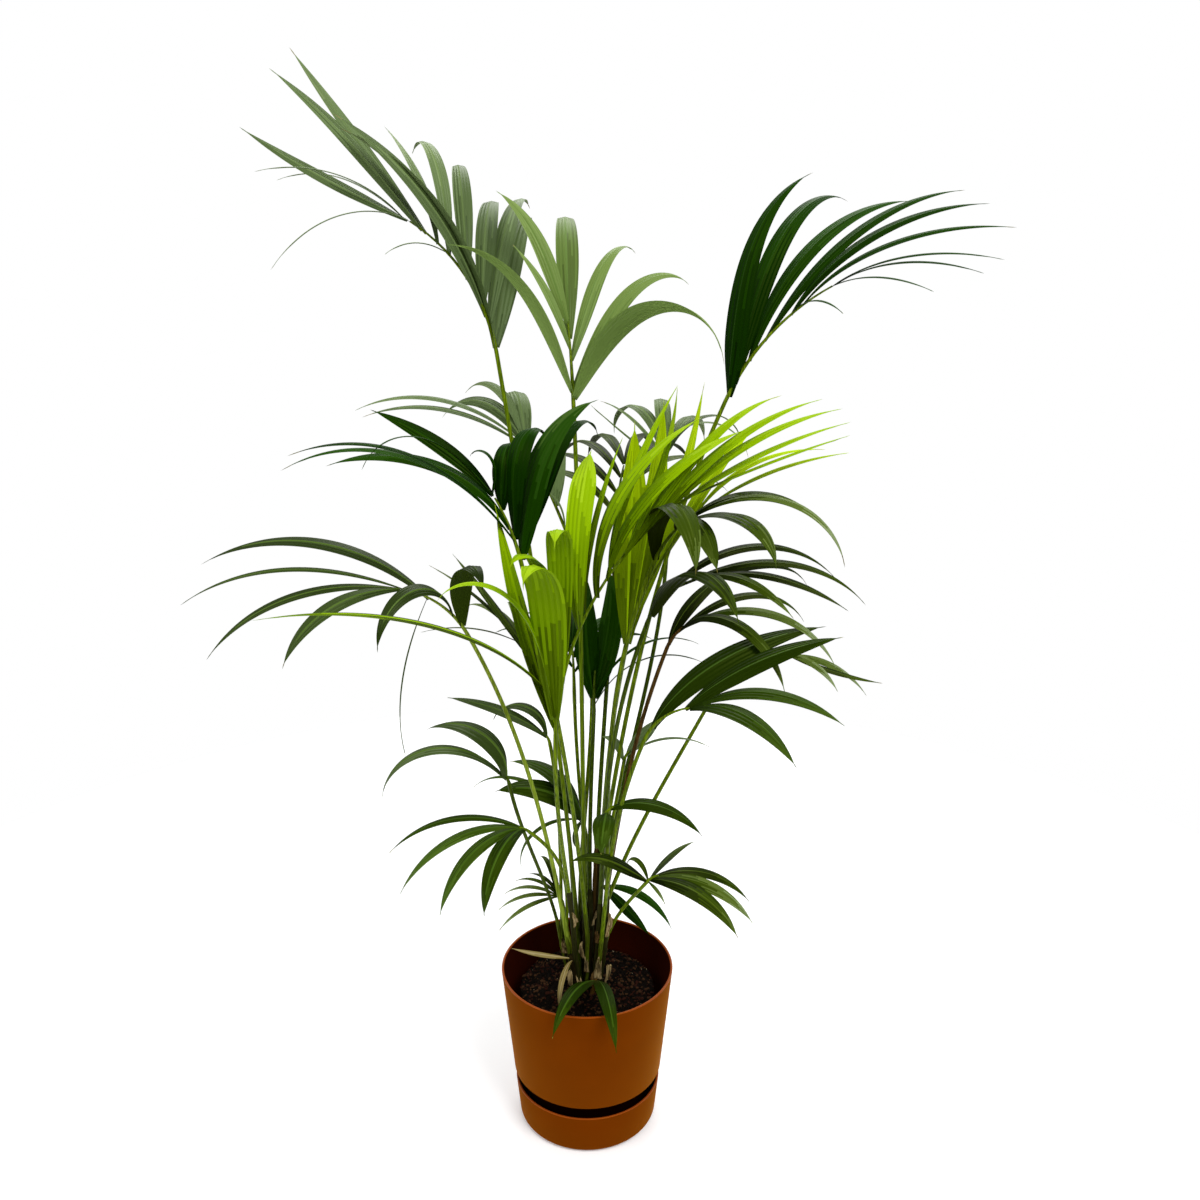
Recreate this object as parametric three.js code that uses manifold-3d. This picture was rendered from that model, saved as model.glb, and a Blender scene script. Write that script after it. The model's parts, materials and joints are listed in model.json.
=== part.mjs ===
// A potted kentia palm: a cup-shaped pot on its saucer, a root ball, seven short canes,
// and fronds whose leaflets stand on a rachis, each frond on its own stalk.
// Millimetres, +Z up. The origin is the middle of the saucer's flat underside, and +X is the
// plant's right as it faces -Y.

import * as THREE from "three";
import { mergeVertices } from "three/addons/utils/BufferGeometryUtils.js";
import Module from "manifold-3d";

const manifold = await Module();
manifold.setup();

// ---------------------------------------------------------------------------
// Driving dimensions

const CLEAR = 0.3;              // gap between two solids that rest on each other

const POT = {
  height: 240,
  rimRadius: 120,
  footRadius: 97,               // where the taper of the wall would meet the ground
  wall: 3.2,
  lip: 1.4,                     // rounding of the rim
  sides: 32,
};
const SAUCER = {
  height: 62,                   // its wall carries on the pot's taper
  wall: 3,
  floor: 4,
  edge: 9,                      // rounding under the wall
  corner: [4, 6],               // sloped corner between floor and wall, inside
};
const CUP = {
  skirt: 80.5,                  // height at which the outer wall turns in above the saucer
  footRadius: 84,
  floor: 5,
  bevel: 4,                     // round the foot
  flare: 3,                     // how much the foot widens up to the skirt
  shoulder: 8,                  // height of the wall's thick part over the skirt, inside
};
const SOIL = {
  height: 208,                  // level ground that the canes stand on
  level: 62,                    // radius of the level part
  shoulder: 203,
  topRadius: 95,
  bottomRadius: 76,
  bevel: [4, 5],                // round the foot
  brow: [3, 5],                 // round the shoulder
};

// A cane: where its top is [x, y], its height above the soil and its radius at the top. Canes
// spread upwards, as their feet stand closer together than their tops, and they widen.
const CANES = [
  { name: "cane_left", at: [-32, 2], height: 75, radius: 9.5 },
  { name: "cane_front_left", at: [-20, -20], height: 60, radius: 9 },
  { name: "cane_back_left", at: [-12, 20], height: 85, radius: 9 },
  { name: "cane_middle", at: [1, -4], height: 90, radius: 9.5 },
  { name: "cane_tall", at: [17, 10], height: 200, radius: 8.5 },
  { name: "cane_front_right", at: [20, -18], height: 70, radius: 9.5 },
  { name: "cane_back", at: [8, 30], height: 60, radius: 9.5 },
];
const CANE_SPREAD = 0.65;       // how far apart the feet stand over how far the tops do
const CANE_FOOT = 0.72;         // radius of a cane's foot over its top's
const CANE_SIDES = 10;

const STALK = { radius: 3, sides: 5, steps: 7, ring: 5.7, collar: 14 };
const RACHIS = { radius: 2.7, tipRadius: 1.5, steps: 3, degreesPerStep: 14 };
const UPRIGHT = 0.45;           // how straight up a stalk leaves its cane

// A leaflet widens from its root to its broadest place, narrows to its thread and ends in a point.
const LEAF = {
  rootWidth: 0.14,              // share of the full width
  broadest: 0.42,               // place along the leaflet, where its row gives none
  thread: 0.96,
  threadWidth: 1.4,
  fullness: 0.8,
  thickness: 1 / 90,            // share of the length
  leastThickness: 1.3,
  steps: 3,
  degreesPerStep: 30,           // a leaflet that bends more has more steps
  free: 0.25,                   // from here on a leaflet is clear of its neighbours
};

// Colours of the plant's parts, and how rough each is
const TINTS = { dark: 0x1f3f0e, olive: 0x3c4c12, mid: 0x5f7d45, grey: 0x6f8060, lime: 0x86a80a };
const STALK_GREEN = 0x507d14;
const CANE_BROWN = 0x5a4a2a;
const SOIL_BROWN = 0x2a1c14;
const TERRACOTTA = 0x8a4b08;
const ROUGH = { pot: 0.5, soil: 0.95, cane: 0.8, stalk: 0.55, leaf: 0.45 };

// Fronds. Each stands on the cane of that number. foot is where its blade starts, and bearing
// and rise are the rachis's direction there, in degrees. The rachis is so long, and arches over
// by so many degrees. A fan is [how many leaflets, the first one, the last one], with the others
// shared out evenly between them. A leaflet is
// [place along the rachis, bearing, rise, length, width, droop, roll, bend], and may end with
// the place along it where it is broadest.
const FRONDS = [
  { name: "frond_top_left", cane: 2, foot: [-110, 60, 1080], bearing: 165, rise: 81,
    rachis: 205, arch: 54, tint: "grey", fans: [
      [1, [0.03, 172, 84, 330, 26, 62, 40, 1.1]],
      [1, [0.22, 178, 74, 300, 22, 44, -50, 1.1]],
      [2, [0.04, 80, 55, 290, 38, 85, 0, 2.6], [0.18, 80, 52, 300, 26, 85, 0, 2.6]],
      [3, [0.29, 90, 53, 285, 28, 112, 0, 2.4], [0.64, 114, 86, 228, 20, 125, 0, 1.7]],
      [1, [0.73, 140, 87, 170, 26, 54, 20, 0.8]],
      [2, [0.83, 160, 50, 282, 17, 0, -40, 1], [0.86, 175, 53, 255, 19, 17, -50, 1.5]],
      [1, [0.97, 185, 26, 220, 17, -8, -50, 2]],
      [2, [1, 200, 48, 190, 7, 63, 0, 1], [1, 150, 38, 218, 7, 54, 0, 1.1]],
      [2, [0.96, 215, 29, 200, 5, 82, 0, 0.8], [0.66, 225, 28, 98, 5, 61, 0, 1.2]]] },
  { name: "frond_top_middle", cane: 3, foot: [-15, 40, 1025], bearing: 100, rise: 75,
    rachis: 105, arch: 18, tint: "mid", fans: [
      [1, [0.02, -40, 60, 305, 34, 145, -30, 2]],
      [2, [0.14, 21, 61, 225, 24, 110, 40, 3.4], [0.47, 59, 60, 222, 21, 102, 10, 3.4]],
      [1, [0.74, 91, 62, 300, 30, 122, 0, 2.2]],
      [2, [0.91, 160, 72, 190, 21, 45, -50, 2.4], [0.6, 150, 70, 150, 11, 30, -40, 1.3]],
      [1, [0.09, 195, 70, 248, 21, 71, 40, 2.4]]] },
  { name: "frond_top_right", cane: 4, foot: [175, 60, 1020], bearing: 10, rise: 66,
    rachis: 205, arch: 41, tint: "dark", fans: [
      [1, [0.03, 14, 86, 300, 40, 66, 28, 2.9, 0.26]],
      [2, [0.12, 42, 71, 348, 29, 94, 20, 2.4], [0.28, 29, 71, 343, 23, 73, 25, 1.1]],
      [2, [0.43, 20, 57, 340, 17, 55, 30, 1.3], [0.65, 5, 60, 288, 16, 60, 35, 0.9]],
      [1, [0.73, -8, 58, 276, 12, 63, 30, 0.7]],
      [2, [0.95, -20, 41, 210, 7, 53, 22, 0.7], [0.98, -30, 38, 187, 7, 55, 22, 0.7]],
      [2, [0.95, -50, 28, 150, 5, 47, 22, 0.7], [0.66, -60, 53, 101, 5, 83, 22, 0.7]]] },
  { name: "frond_back_left", cane: 2, foot: [-25, 160, 815], bearing: 140, rise: 62,
    rachis: 150, arch: 11, tint: "grey", fans: [
      [2, [1, 190, 42, 250, 14, 68, -20, 1.3], [0.96, 200, 38, 240, 16, 58, -20, 1.3]],
      [2, [0.98, 150, 60, 172, 24, 116, -32, 1.3], [1, 130, 70, 178, 14, 115, -32, 1.3]],
      [1, [0.95, 105, 78, 168, 29, 145, 0, 1.3]],
      [1, [0.32, 80, 96, 136, 29, 90, 0, 2]],
      [1, [0.09, 170, 92, 66, 10, 66, 0, 1.3]]] },
  { name: "frond_middle_left", cane: 3, foot: [-75, -100, 860], bearing: 150, rise: 74,
    rachis: 82, arch: 21, tint: "dark", fans: [
      [1, [0.0, 12, 83, 220, 39, 70, 40, 2.4]],
      [1, [0.1, 52, 61, 239, 33, 148, 0, 4]],
      [1, [0.3, 55, 90, 172, 35, 186, 0, 4, 0.6]],
      [1, [0.75, 73, 88, 123, 29, 208, 0, 2.7]],
      [1, [1, 186, 101, 78, 23, 177, 0, 2.7]],
      [1, [0.99, 180, 58, 174, 21, 38, -50, 0.7]],
      [1, [0.46, 190, 67, 242, 20, 86, -35, 0.9]],
      [2, [0.31, 200, 56, 305, 13, 85, -20, 1.4], [0.28, 215, 54, 316, 12, 70, -20, 1.5]],
      [1, [0.99, 222, 48, 220, 6, 112, 0, 2.5]]] },
  { name: "frond_left", cane: 1, foot: [-150, -20, 740], bearing: 185, rise: 63,
    rachis: 105, arch: 51, tint: "olive", fans: [
      [1, [0.63, 165, 44, 340, 23, 76, -20, 0.9]],
      [2, [0.94, 180, 21, 292, 8, 57, -32, 1.3], [1, 195, 11, 265, 14, 66, -32, 1.3]],
      [1, [1, 215, 10, 190, 23, 79, -25, 1.3]],
      [1, [0.27, 232, 78, 185, 22, 168, -32, 1]],
      [1, [0.11, 300, 100, 150, 33, 190, 0, 2]],
      [1, [0.66, 230, -54, 211, 2, 50, -32, 1.3]]] },
  { name: "frond_young", cane: 1, foot: [-35, -140, 655], bearing: 20, rise: 88,
    rachis: 330, arch: 56, tint: "lime", fans: [
      [1, [0.09, 180, 92, 395, 17, 102, 0, 0.4]],
      [1, [0.03, 150, 70, 275, 32, -6, 0, 1]],
      [1, [0.07, 196, 80, 262, 38, 140, 0, 3, 0.5]],
      [1, [0.06, 250, 84, 266, 48, 200, 0, 6, 0.6]],
      [1, [0.2, 225, 82, 215, 38, 184, 0, 6, 0.62]],
      [1, [0.2, 265, 90, 246, 31, 202, 0, 6, 0.7]],
      [1, [0.4, 77, 108, 238, 32, 90, 0, 1.34, 0.72]],
      [1, [0.46, 50, 110, 216, 10, 56, 0, 0.46]],
      [1, [0.53, 13, 101, 262, 46, 80, 0, 0.87]],
      [1, [0.6, 5, 84, 250, 26, 66, 20, 0.8]],
      [2, [0.62, 43, 101, 244, 14, 56, 0, 0.4], [0.7, 25, 62, 207, 18, -24, 0, 1.8]],
      [2, [0.68, 8, 56, 273, 18, 45, 30, 3], [0.76, 0, 54, 276, 18, 41, 30, 1.7]],
      [3, [0.84, -5, 50, 262, 16, 39, 30, 1.4], [0.99, -20, 30, 212, 13, 10, 10, 1]]] },
  { name: "frond_young_right", cane: 4, foot: [50, -60, 735], bearing: 10, rise: 79,
    rachis: 198, arch: 34, tint: "lime", fans: [
      [3, [0.03, 84, 60, 280, 44, -30, 0, 2], [0.2, 48, 56, 306, 28, -16, -20, 1]],
      [1, [0.61, 30, 56, 205, 18, 24, 20, 1.8]],
      [2, [0.91, -20, 48, 211, 11, 37, 20, 0.8], [0.91, 0, 62, 188, 11, 66, 20, 1]]] },
  { name: "frond_back_right", cane: 6, foot: [110, 170, 865], bearing: 60, rise: 100,
    rachis: 67, arch: 6, tint: "grey", fans: [
      [2, [1, 165, 51, 118, 17, 42, 0, 2], [0.8, 180, 37, 130, 16, -4, 0, 1]],
      [2, [1, 130, 68, 168, 24, 168, 0, 1.6], [1, 95, 72, 160, 23, 150, 0, 1.6]],
      [3, [1, 60, 42, 172, 20, 127, 0, 1.8], [1, -10, 80, 160, 12, 160, 0, 1]]] },
  { name: "frond_right_upper", cane: 5, foot: [83, -85, 855], bearing: 15, rise: 66,
    rachis: 88, arch: 45, tint: "olive", fans: [
      [1, [0.0, -72, 110, 218, 36, 208, 0, 1, 0.5]],
      [2, [0.5, -65, 110, 133, 30, 178, 0, 0.45, 0.5], [0.7, -52, 24, 172, 34, 112, 0, 2, 0.5]],
      [2, [0.68, -5, 42, 176, 16, 88, 32, 1.1], [0.82, -20, 32, 222, 11, 112, 32, 1.4]]] },
  { name: "frond_right", cane: 5, foot: [75, -90, 780], bearing: 10, rise: 69,
    rachis: 97, arch: 69, tint: "olive", fans: [
      [1, [0.08, -60, 58, 226, 38, 126, 0, 1.7, 0.45]],
      [1, [0.38, 15, 51, 254, 13, 100, 32, 1]],
      [2, [0.6, 0, 28, 246, 12, 79, 32, 1.3], [0.87, 25, 5, 173, 10, 68, 32, 3]],
      [2, [1, -15, 23, 174, 12, 57, 32, 0.7], [0.87, -35, 35, 136, 14, 81, 32, 0.7]]] },
  { name: "frond_right_middle", cane: 5, foot: [105, 20, 705], bearing: 20, rise: 68,
    rachis: 49, arch: 52, tint: "olive", fans: [
      [1, [0.1, 40, 72, 150, 20, 66, 20, 0.7]],
      [2, [0.49, 15, 39, 209, 13, 101, 32, 1.5], [0.65, -15, 37, 238, 14, 103, 32, 1.2]],
      [1, [0.61, -40, 57, 206, 18, 132, 32, 0.8]]] },
  { name: "frond_right_lower", cane: 5, foot: [74, -80, 622], bearing: -5, rise: 68,
    rachis: 80, arch: 64, tint: "dark", fans: [
      [2, [0.22, 20, 66, 270, 33, 66, 35, 0.6], [0.83, 0, 44, 216, 29, 34, 35, 1]],
      [2, [0.92, -20, 38, 205, 25, 75, 15, 1], [0.92, -45, 30, 178, 30, 80, 10, 1]]] },
  { name: "frond_far_right", cane: 6, foot: [180, 90, 620], bearing: 25, rise: 58,
    rachis: 128, arch: 84, tint: "olive", fans: [
      [1, [0.1, 60, 8, 235, 19, 41, 0, 1.3]],
      [2, [1, 10, -9, 150, 14, 50, 32, 1.3], [1, 0, -23, 143, 10, -14, 32, 1.3]],
      [1, [0.86, -40, 9, 110, 11, 66, 32, 1.3]]] },
  { name: "frond_centre", cane: 3, foot: [10, 60, 600], bearing: 80, rise: 100,
    rachis: 60, arch: 38, tint: "dark", fans: [
      [2, [0.31, 60, 63, 184, 38, -50, 0, 2.4], [0.31, 118, 72, 170, 38, -30, 0, 1.5]],
      [2, [0.34, 10, 68, 184, 10, 100, 0, 1.3], [0.14, -15, 63, 193, 8, 89, 0, 1.4]]] },
  { name: "frond_small_left", cane: 0, foot: [-50, 40, 560], bearing: 170, rise: 80,
    rachis: 20, arch: 40, tint: "olive", fans: [
      [2, [0.5, 185, 48, 149, 18, 40, -32, 0.7], [0.5, 160, 100, 123, 26, 176, 0, 0.9]]] },
  { name: "frond_low_left", cane: 0, foot: [-100, -40, 540], bearing: 185, rise: 80,
    rachis: 20, arch: 40, tint: "olive", fans: [
      [2, [0.4, 160, 104, 160, 43, 142, 0, 0.8], [0.4, 190, 54, 215, 30, 141, 0, 1.3]]] },
  { name: "frond_lower_left", cane: 0, foot: [-73, -60, 480], bearing: 185, rise: 48,
    rachis: 18, arch: 40, tint: "olive", fans: [
      [4, [0.34, 165, 22, 228, 11, 74, -32, 0.8], [0.5, 240, 32, 150, 27, 125, 0, 0.8]]] },
  { name: "frond_small_middle", cane: 2, foot: [-5, 60, 428], bearing: 170, rise: 85,
    rachis: 20, arch: 40, tint: "olive", fans: [
      [2, [0.3, 160, 80, 154, 38, 104, 0, 1.1], [0.3, 190, 72, 146, 37, 88, -32, 0.8]],
      [3, [0.3, 150, 31, 206, 7, 80, -32, 1.6], [0.3, 240, 4, 60, 8, 160, 0, 1]]] },
  { name: "frond_small_right", cane: 4, foot: [26, -75, 516], bearing: 10, rise: 61,
    rachis: 15, arch: 40, tint: "olive", fans: [
      [1, [0.5, 0, 30, 137, 20, 86, 32, 0.8]],
      [1, [0.1, -100, 30, 75, 28, 125, 0, 1]]] },
  { name: "frond_low_right", cane: 5, foot: [80, -60, 407], bearing: -10, rise: 56,
    rachis: 20, arch: 40, tint: "olive", fans: [
      [1, [0.1, 190, 38, 118, 20, 72, -32, 2.6]],
      [3, [0.3, 10, 26, 162, 15, 84, 32, 0.8], [0.3, -40, 18, 153, 22, 75, 32, 1.3]],
      [1, [0.2, 60, 8, 150, 11, 30, 0, 1.1]],
      [2, [0.1, 130, 72, 65, 7, 166, -32, 1.3], [0.1, -60, 1, 45, 6, 43, 0, 1.3]]] },
  { name: "frond_low_back", cane: 6, foot: [18, 60, 324], bearing: 0, rise: 40,
    rachis: 12, arch: 30, tint: "dark", fans: [
      [2, [0.5, 0, 8, 132, 14, 79, 32, 0.8], [0.5, -30, -30, 95, 16, 10, 32, 1]]] },
  { name: "frond_low_small", cane: 0, foot: [-35, 30, 320], bearing: 180, rise: 80,
    rachis: 12, arch: 40, tint: "olive", fans: [
      [1, [0.9, 120, 70, 80, 11, 118, 0, 2]],
      [5, [0.9, 150, 64, 62, 6, 95, -20, 1.2], [0.9, 215, 10, 104, 7, 55, -30, 1.5]]] },
  { name: "frond_inner_right", cane: 6, foot: [51, 40, 535], bearing: 20, rise: 80,
    rachis: 15, arch: 40, tint: "grey", fans: [
      [2, [0.6, 30, 46, 72, 20, 20, 30, 1], [0.3, 0, 48, 128, 9, 82, 0, 1]],
      [1, [0.1, 160, 80, 52, 23, 110, 0, 1.6]]] },
  { name: "frond_back_low", cane: 6, foot: [-18, 110, 608], bearing: 95, rise: 80,
    rachis: 70, arch: 50, tint: "dark", fans: [
      [3, [0.4, 30, 50, 150, 22, 90, 0, 1.2], [1, 85, 38, 170, 24, 90, 0, 1.2]],
      [3, [0.5, 150, 52, 150, 22, 90, 0, 1.2], [1, 105, 40, 170, 22, 90, 0, 1.2]]] },
  { name: "frond_back_high", cane: 4, foot: [40, 150, 830], bearing: 80, rise: 78,
    rachis: 110, arch: 60, tint: "olive", fans: [
      [4, [0.2, 15, 50, 190, 26, 100, 0, 1.3], [1, 75, 30, 220, 20, 85, 0, 1.2]],
      [4, [0.2, 150, 50, 190, 26, 100, 0, 1.3], [1, 105, 30, 220, 20, 85, 0, 1.2]]] },
  { name: "frond_behind_left", cane: 2, foot: [-59, 75, 634], bearing: 150, rise: 72,
    rachis: 55, arch: 20, tint: "olive", fans: [
      [2, [0.5, 168, 58, 190, 26, 10, 0, 1], [1, 172, 50, 175, 12, 25, 0, 1.3]],
      [1, [1, 182, 34, 150, 6, 50, 0, 1]],
      [2, [0.7, 110, 50, 150, 24, 80, 0, 1.3], [1, 135, 42, 160, 18, 80, 0, 1.3]]] },
];

// Fronds that are one solid with their stalk, as both are short
const SMALL_FRONDS = [
  "frond_small_left", "frond_low_left", "frond_lower_left", "frond_small_middle",
  "frond_small_right", "frond_low_right", "frond_low_back", "frond_low_small",
  "frond_inner_right", "frond_behind_left", "frond_back_low",
];

// The first leaf of a seedling, in two lobes, that leans out over the rim
const FRONT_LEAF = {
  root: [6, -24],
  foot: [12, -28, 232],
  leaving: [-100, 50],          // bearing and rise at the foot of its lobes
  steps: 4,
  lobes: [
    [1, -112, 34, 152, 23, 92, 0, 1.6],
    [1, -80, 38, 162, 22, 100, 0, 1.3],
  ],
};

// Withered leaves that hang from the front left cane, as [foot, leaflet]
const WITHERED_LEAVES = [
  [[-24, -24, 266], [0, 189, 12, 84, 9, -10, 0, 2]],
  [[-20, -24, 262], [0, 248, 32, 92, 6, 150, 0, 0.9]],
];

// ---------------------------------------------------------------------------
// Curves

const radians = THREE.MathUtils.degToRad;
const lerp = THREE.MathUtils.lerp;
const UP = new THREE.Vector3(0, 0, 1);

function heading(bearing, rise) {
  const b = radians(bearing);
  const e = radians(rise);
  return new THREE.Vector3(Math.cos(e) * Math.cos(b), Math.cos(e) * Math.sin(b), Math.sin(e));
}

// A line that leaves a point at some rise and sinks by so many degrees on its way to its tip,
// later for a larger bend, and stays in one upright plane.
class Drooping extends THREE.Curve {
  constructor(start, { bearing, rise, length, droop, bend }) {
    super();
    const pieces = 48;
    this.stations = [start.clone()];
    this.bearing = bearing;
    this.riseAt = (t) => rise - droop * t ** bend;
    for (let i = 0; i < pieces; i++) {
      const step = heading(bearing, this.riseAt((i + 0.5) / pieces)).multiplyScalar(length / pieces);
      this.stations.push(this.stations[i].clone().add(step));
    }
  }

  getPoint(t, target = new THREE.Vector3()) {
    const x = THREE.MathUtils.clamp(t, 0, 1) * (this.stations.length - 1);
    const i = Math.min(Math.floor(x), this.stations.length - 2);
    return target.lerpVectors(this.stations[i], this.stations[i + 1], x - i);
  }

  getTangent(t, target = new THREE.Vector3()) {
    return target.copy(heading(this.bearing, this.riseAt(t)));
  }
}

// ---------------------------------------------------------------------------
// Solids

function geometryOf(vertices, triangles) {
  const geometry = new THREE.BufferGeometry();
  geometry.setAttribute("position", new THREE.Float32BufferAttribute(vertices, 3));
  geometry.setIndex(Array.from(triangles));
  return geometry;
}

// A closed skin over rings of points that all have the same count and run the same way round.
// A ring of one point closes the skin in a tip, and an open end gets a flat cap.
function loft(rings) {
  const vertices = [];
  const firsts = rings.map((ring) => {
    const first = vertices.length / 3;
    ring.forEach((p) => vertices.push(p.x, p.y, p.z));
    return first;
  });
  const triangles = [];
  for (let i = 0; i + 1 < rings.length; i++) {
    const count = rings[i].length;
    for (let j = 0; j < count; j++) {
      const k = (j + 1) % count;
      const [a, b] = [firsts[i] + j, firsts[i] + k];
      if (rings[i + 1].length === 1) {
        triangles.push(a, b, firsts[i + 1]);
      } else {
        triangles.push(a, b, firsts[i + 1] + k, a, firsts[i + 1] + k, firsts[i + 1] + j);
      }
    }
  }
  const cap = (index, reversed) => {
    const count = rings[index].length;
    for (let j = 1; j + 1 < count; j++) {
      const [a, b, c] = [firsts[index], firsts[index] + j, firsts[index] + j + 1];
      triangles.push(a, ...(reversed ? [c, b] : [b, c]));
    }
  };
  cap(0, true);
  cap(rings.length - 1, false);
  return geometryOf(vertices, triangles);
}

// The same count of points round a curve's place t, at a radius
function ringAround(centre, along, radius, sides, turn = 0) {
  const reference = Math.abs(along.z) > 0.9 ? new THREE.Vector3(0, 1, 0) : UP;
  const u = new THREE.Vector3().crossVectors(reference, along).normalize();
  const v = new THREE.Vector3().crossVectors(along, u);
  return Array.from({ length: sides }, (_, i) => {
    const angle = turn + (2 * Math.PI * i) / sides;
    return centre.clone()
      .addScaledVector(u, radius * Math.cos(angle))
      .addScaledVector(v, radius * Math.sin(angle));
  });
}

function solidOf(geometry) {
  const bare = geometry.clone();
  bare.deleteAttribute("normal");
  bare.deleteAttribute("uv");
  const merged = mergeVertices(bare, 1e-4);
  return new manifold.Manifold(new manifold.Mesh({
    numProp: 3,
    vertProperties: new Float32Array(merged.attributes.position.array),
    triVerts: new Uint32Array(merged.index.array),
  }));
}

function geometryFrom(solid) {
  const mesh = solid.getMesh();
  return geometryOf(mesh.vertProperties, mesh.triVerts);
}

function turned(profile) {
  const points = profile.map(([r, z]) => new THREE.Vector2(r, z));
  return new THREE.LatheGeometry(points, POT.sides).rotateX(Math.PI / 2);
}

// ---------------------------------------------------------------------------
// Pot and soil

// Outer radius of the pot's straight taper at a height
const taper = (z) => lerp(POT.footRadius, POT.rimRadius, z / POT.height);

function arc(centre, radius, from, to, pieces = 3) {
  return Array.from({ length: pieces + 1 }, (_, i) => {
    const angle = radians(lerp(from, to, i / pieces));
    return [centre[0] + radius * Math.cos(angle), centre[1] + radius * Math.sin(angle)];
  });
}

function saucer() {
  const inside = taper(SAUCER.height) - SAUCER.wall;
  const edge = [taper(0) - SAUCER.edge, SAUCER.edge];
  return turned([
    [0, 0],
    ...arc(edge, SAUCER.edge, -90, 0),
    [taper(SAUCER.height), SAUCER.height],
    [inside, SAUCER.height],
    [edge[0] - SAUCER.wall + SAUCER.corner[0], SAUCER.floor + SAUCER.corner[1]],
    [edge[0] - SAUCER.wall, SAUCER.floor],
    [0, SAUCER.floor],
  ]);
}

function cup() {
  const bottom = SAUCER.floor + CLEAR;
  const rim = [POT.rimRadius - POT.lip, POT.height - POT.lip];
  const inner = (z) => taper(z) - POT.wall;
  const shoulder = CUP.skirt + CUP.shoulder;
  return turned([
    [0, bottom],
    [CUP.footRadius - CUP.bevel, bottom],
    [CUP.footRadius, bottom + CUP.bevel],
    [CUP.footRadius + CUP.flare, CUP.skirt],
    [taper(CUP.skirt), CUP.skirt],
    ...arc(rim, POT.lip, 0, 90),
    [inner(POT.height - POT.lip), POT.height - POT.lip],
    [inner(shoulder), shoulder],
    [CUP.footRadius + CUP.flare - POT.wall, CUP.skirt - CUP.bevel],
    [CUP.footRadius - POT.wall, bottom + CUP.floor],
    [0, bottom + CUP.floor],
  ]);
}

function rootBall() {
  const bottom = SAUCER.floor + CUP.floor + 2 * CLEAR;
  return turned([
    [0, bottom],
    [SOIL.bottomRadius - SOIL.bevel[0], bottom],
    [SOIL.bottomRadius, bottom + SOIL.bevel[1]],
    [SOIL.topRadius, SOIL.shoulder - SOIL.brow[1]],
    [SOIL.topRadius - SOIL.brow[0], SOIL.shoulder],
    [SOIL.level, SOIL.height],
    [0, SOIL.height],
  ]);
}

// ---------------------------------------------------------------------------
// Canes, stalks, rachises and leaflets

function caneTop(cane) {
  return new THREE.Vector3(cane.at[0], cane.at[1], SOIL.height + CLEAR + cane.height);
}

function caneSolid(cane) {
  const [x, y] = cane.at;
  const foot = new THREE.Vector3(x * CANE_SPREAD, y * CANE_SPREAD, SOIL.height + CLEAR);
  return solidOf(loft([
    ringAround(foot, UP, cane.radius * CANE_FOOT, CANE_SIDES),
    ringAround(caneTop(cane), UP, cane.radius, CANE_SIDES),
  ]));
}

// Stalks stand in a ring on their cane's top, each on the side that it leans to.
function stalkFeet(fronds) {
  const feet = new Map();
  CANES.forEach((cane, number) => {
    const top = caneTop(cane);
    const leaning = (frond) => Math.atan2(frond.foot[1] - top.y, frond.foot[0] - top.x);
    const own = fronds.filter((frond) => frond.cane === number)
      .sort((a, b) => leaning(a) - leaning(b));
    const share = (2 * Math.PI) / own.length;
    const offset = own.reduce((sum, frond, i) => sum + leaning(frond) - i * share, 0) / own.length;
    own.forEach((frond, i) => {
      const angle = offset + i * share;
      const aside = own.length > 1 ? STALK.ring : 0;
      feet.set(frond.name, top.clone().add(
        new THREE.Vector3(aside * Math.cos(angle), aside * Math.sin(angle), CLEAR)));
    });
  });
  return feet;
}

// A stalk's centre line, from its cane to the rachis, bowed aside by some millimetres at its middle
function stalkLine(from, to, direction, bow) {
  const reach = to.distanceTo(from);
  const leaving = to.clone().sub(from).normalize().multiplyScalar(1 - UPRIGHT)
    .addScaledVector(UP, UPRIGHT).normalize();
  const aside = new THREE.Vector3(bow[0], bow[1], 0).multiplyScalar(4 / 3);
  return new THREE.CubicBezierCurve3(
    from,
    from.clone().addScaledVector(leaving, reach / 3).add(aside),
    to.clone().addScaledVector(direction, -reach / 3).add(aside),
    to,
  );
}

function tubeRings(curve, steps, radiusAt, sides) {
  return Array.from({ length: steps + 1 }, (_, i) => {
    const t = i / steps;
    return ringAround(curve.getPoint(t), curve.getTangent(t), radiusAt(t), sides);
  });
}

// A stalk's foot is cut level, so that it stands flat.
function stalkRings(line, steps, radius) {
  const rings = tubeRings(line, steps, () => radius, STALK.sides);
  const foot = ringAround(line.getPoint(0), UP, radius, STALK.sides);
  return [foot, ...rings.slice(1)];
}

function rachisLine(frond) {
  return new Drooping(new THREE.Vector3(...frond.foot), {
    bearing: frond.bearing, rise: frond.rise, length: frond.rachis, droop: frond.arch, bend: 1,
  });
}

function rachisRings(frond) {
  const line = rachisLine(frond);
  const radiusAt = (t) => lerp(RACHIS.radius, RACHIS.tipRadius, t);
  const steps = RACHIS.steps + Math.round(frond.arch / RACHIS.degreesPerStep);
  return tubeRings(line, steps, radiusAt, STALK.sides);
}

function leafletProfile(t, broadest) {
  if (t < broadest) {
    return LEAF.rootWidth + (1 - LEAF.rootWidth) * Math.sin((Math.PI / 2) * (t / broadest));
  }
  const past = Math.min((t - broadest) / (LEAF.thread - broadest), 1);
  return Math.max(Math.cos((Math.PI / 2) * past), 0) ** LEAF.fullness;
}

// The leaflets of a frond, with each fan shared out between its first and its last
function leafletRows(frond) {
  return frond.fans.flatMap(([count, first, last]) => Array.from({ length: count }, (_, i) => {
    const share = count > 1 ? i / (count - 1) : 0;
    return first.map((value, column) => (count > 1 ? lerp(value, last[column], share) : value));
  }));
}

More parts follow.
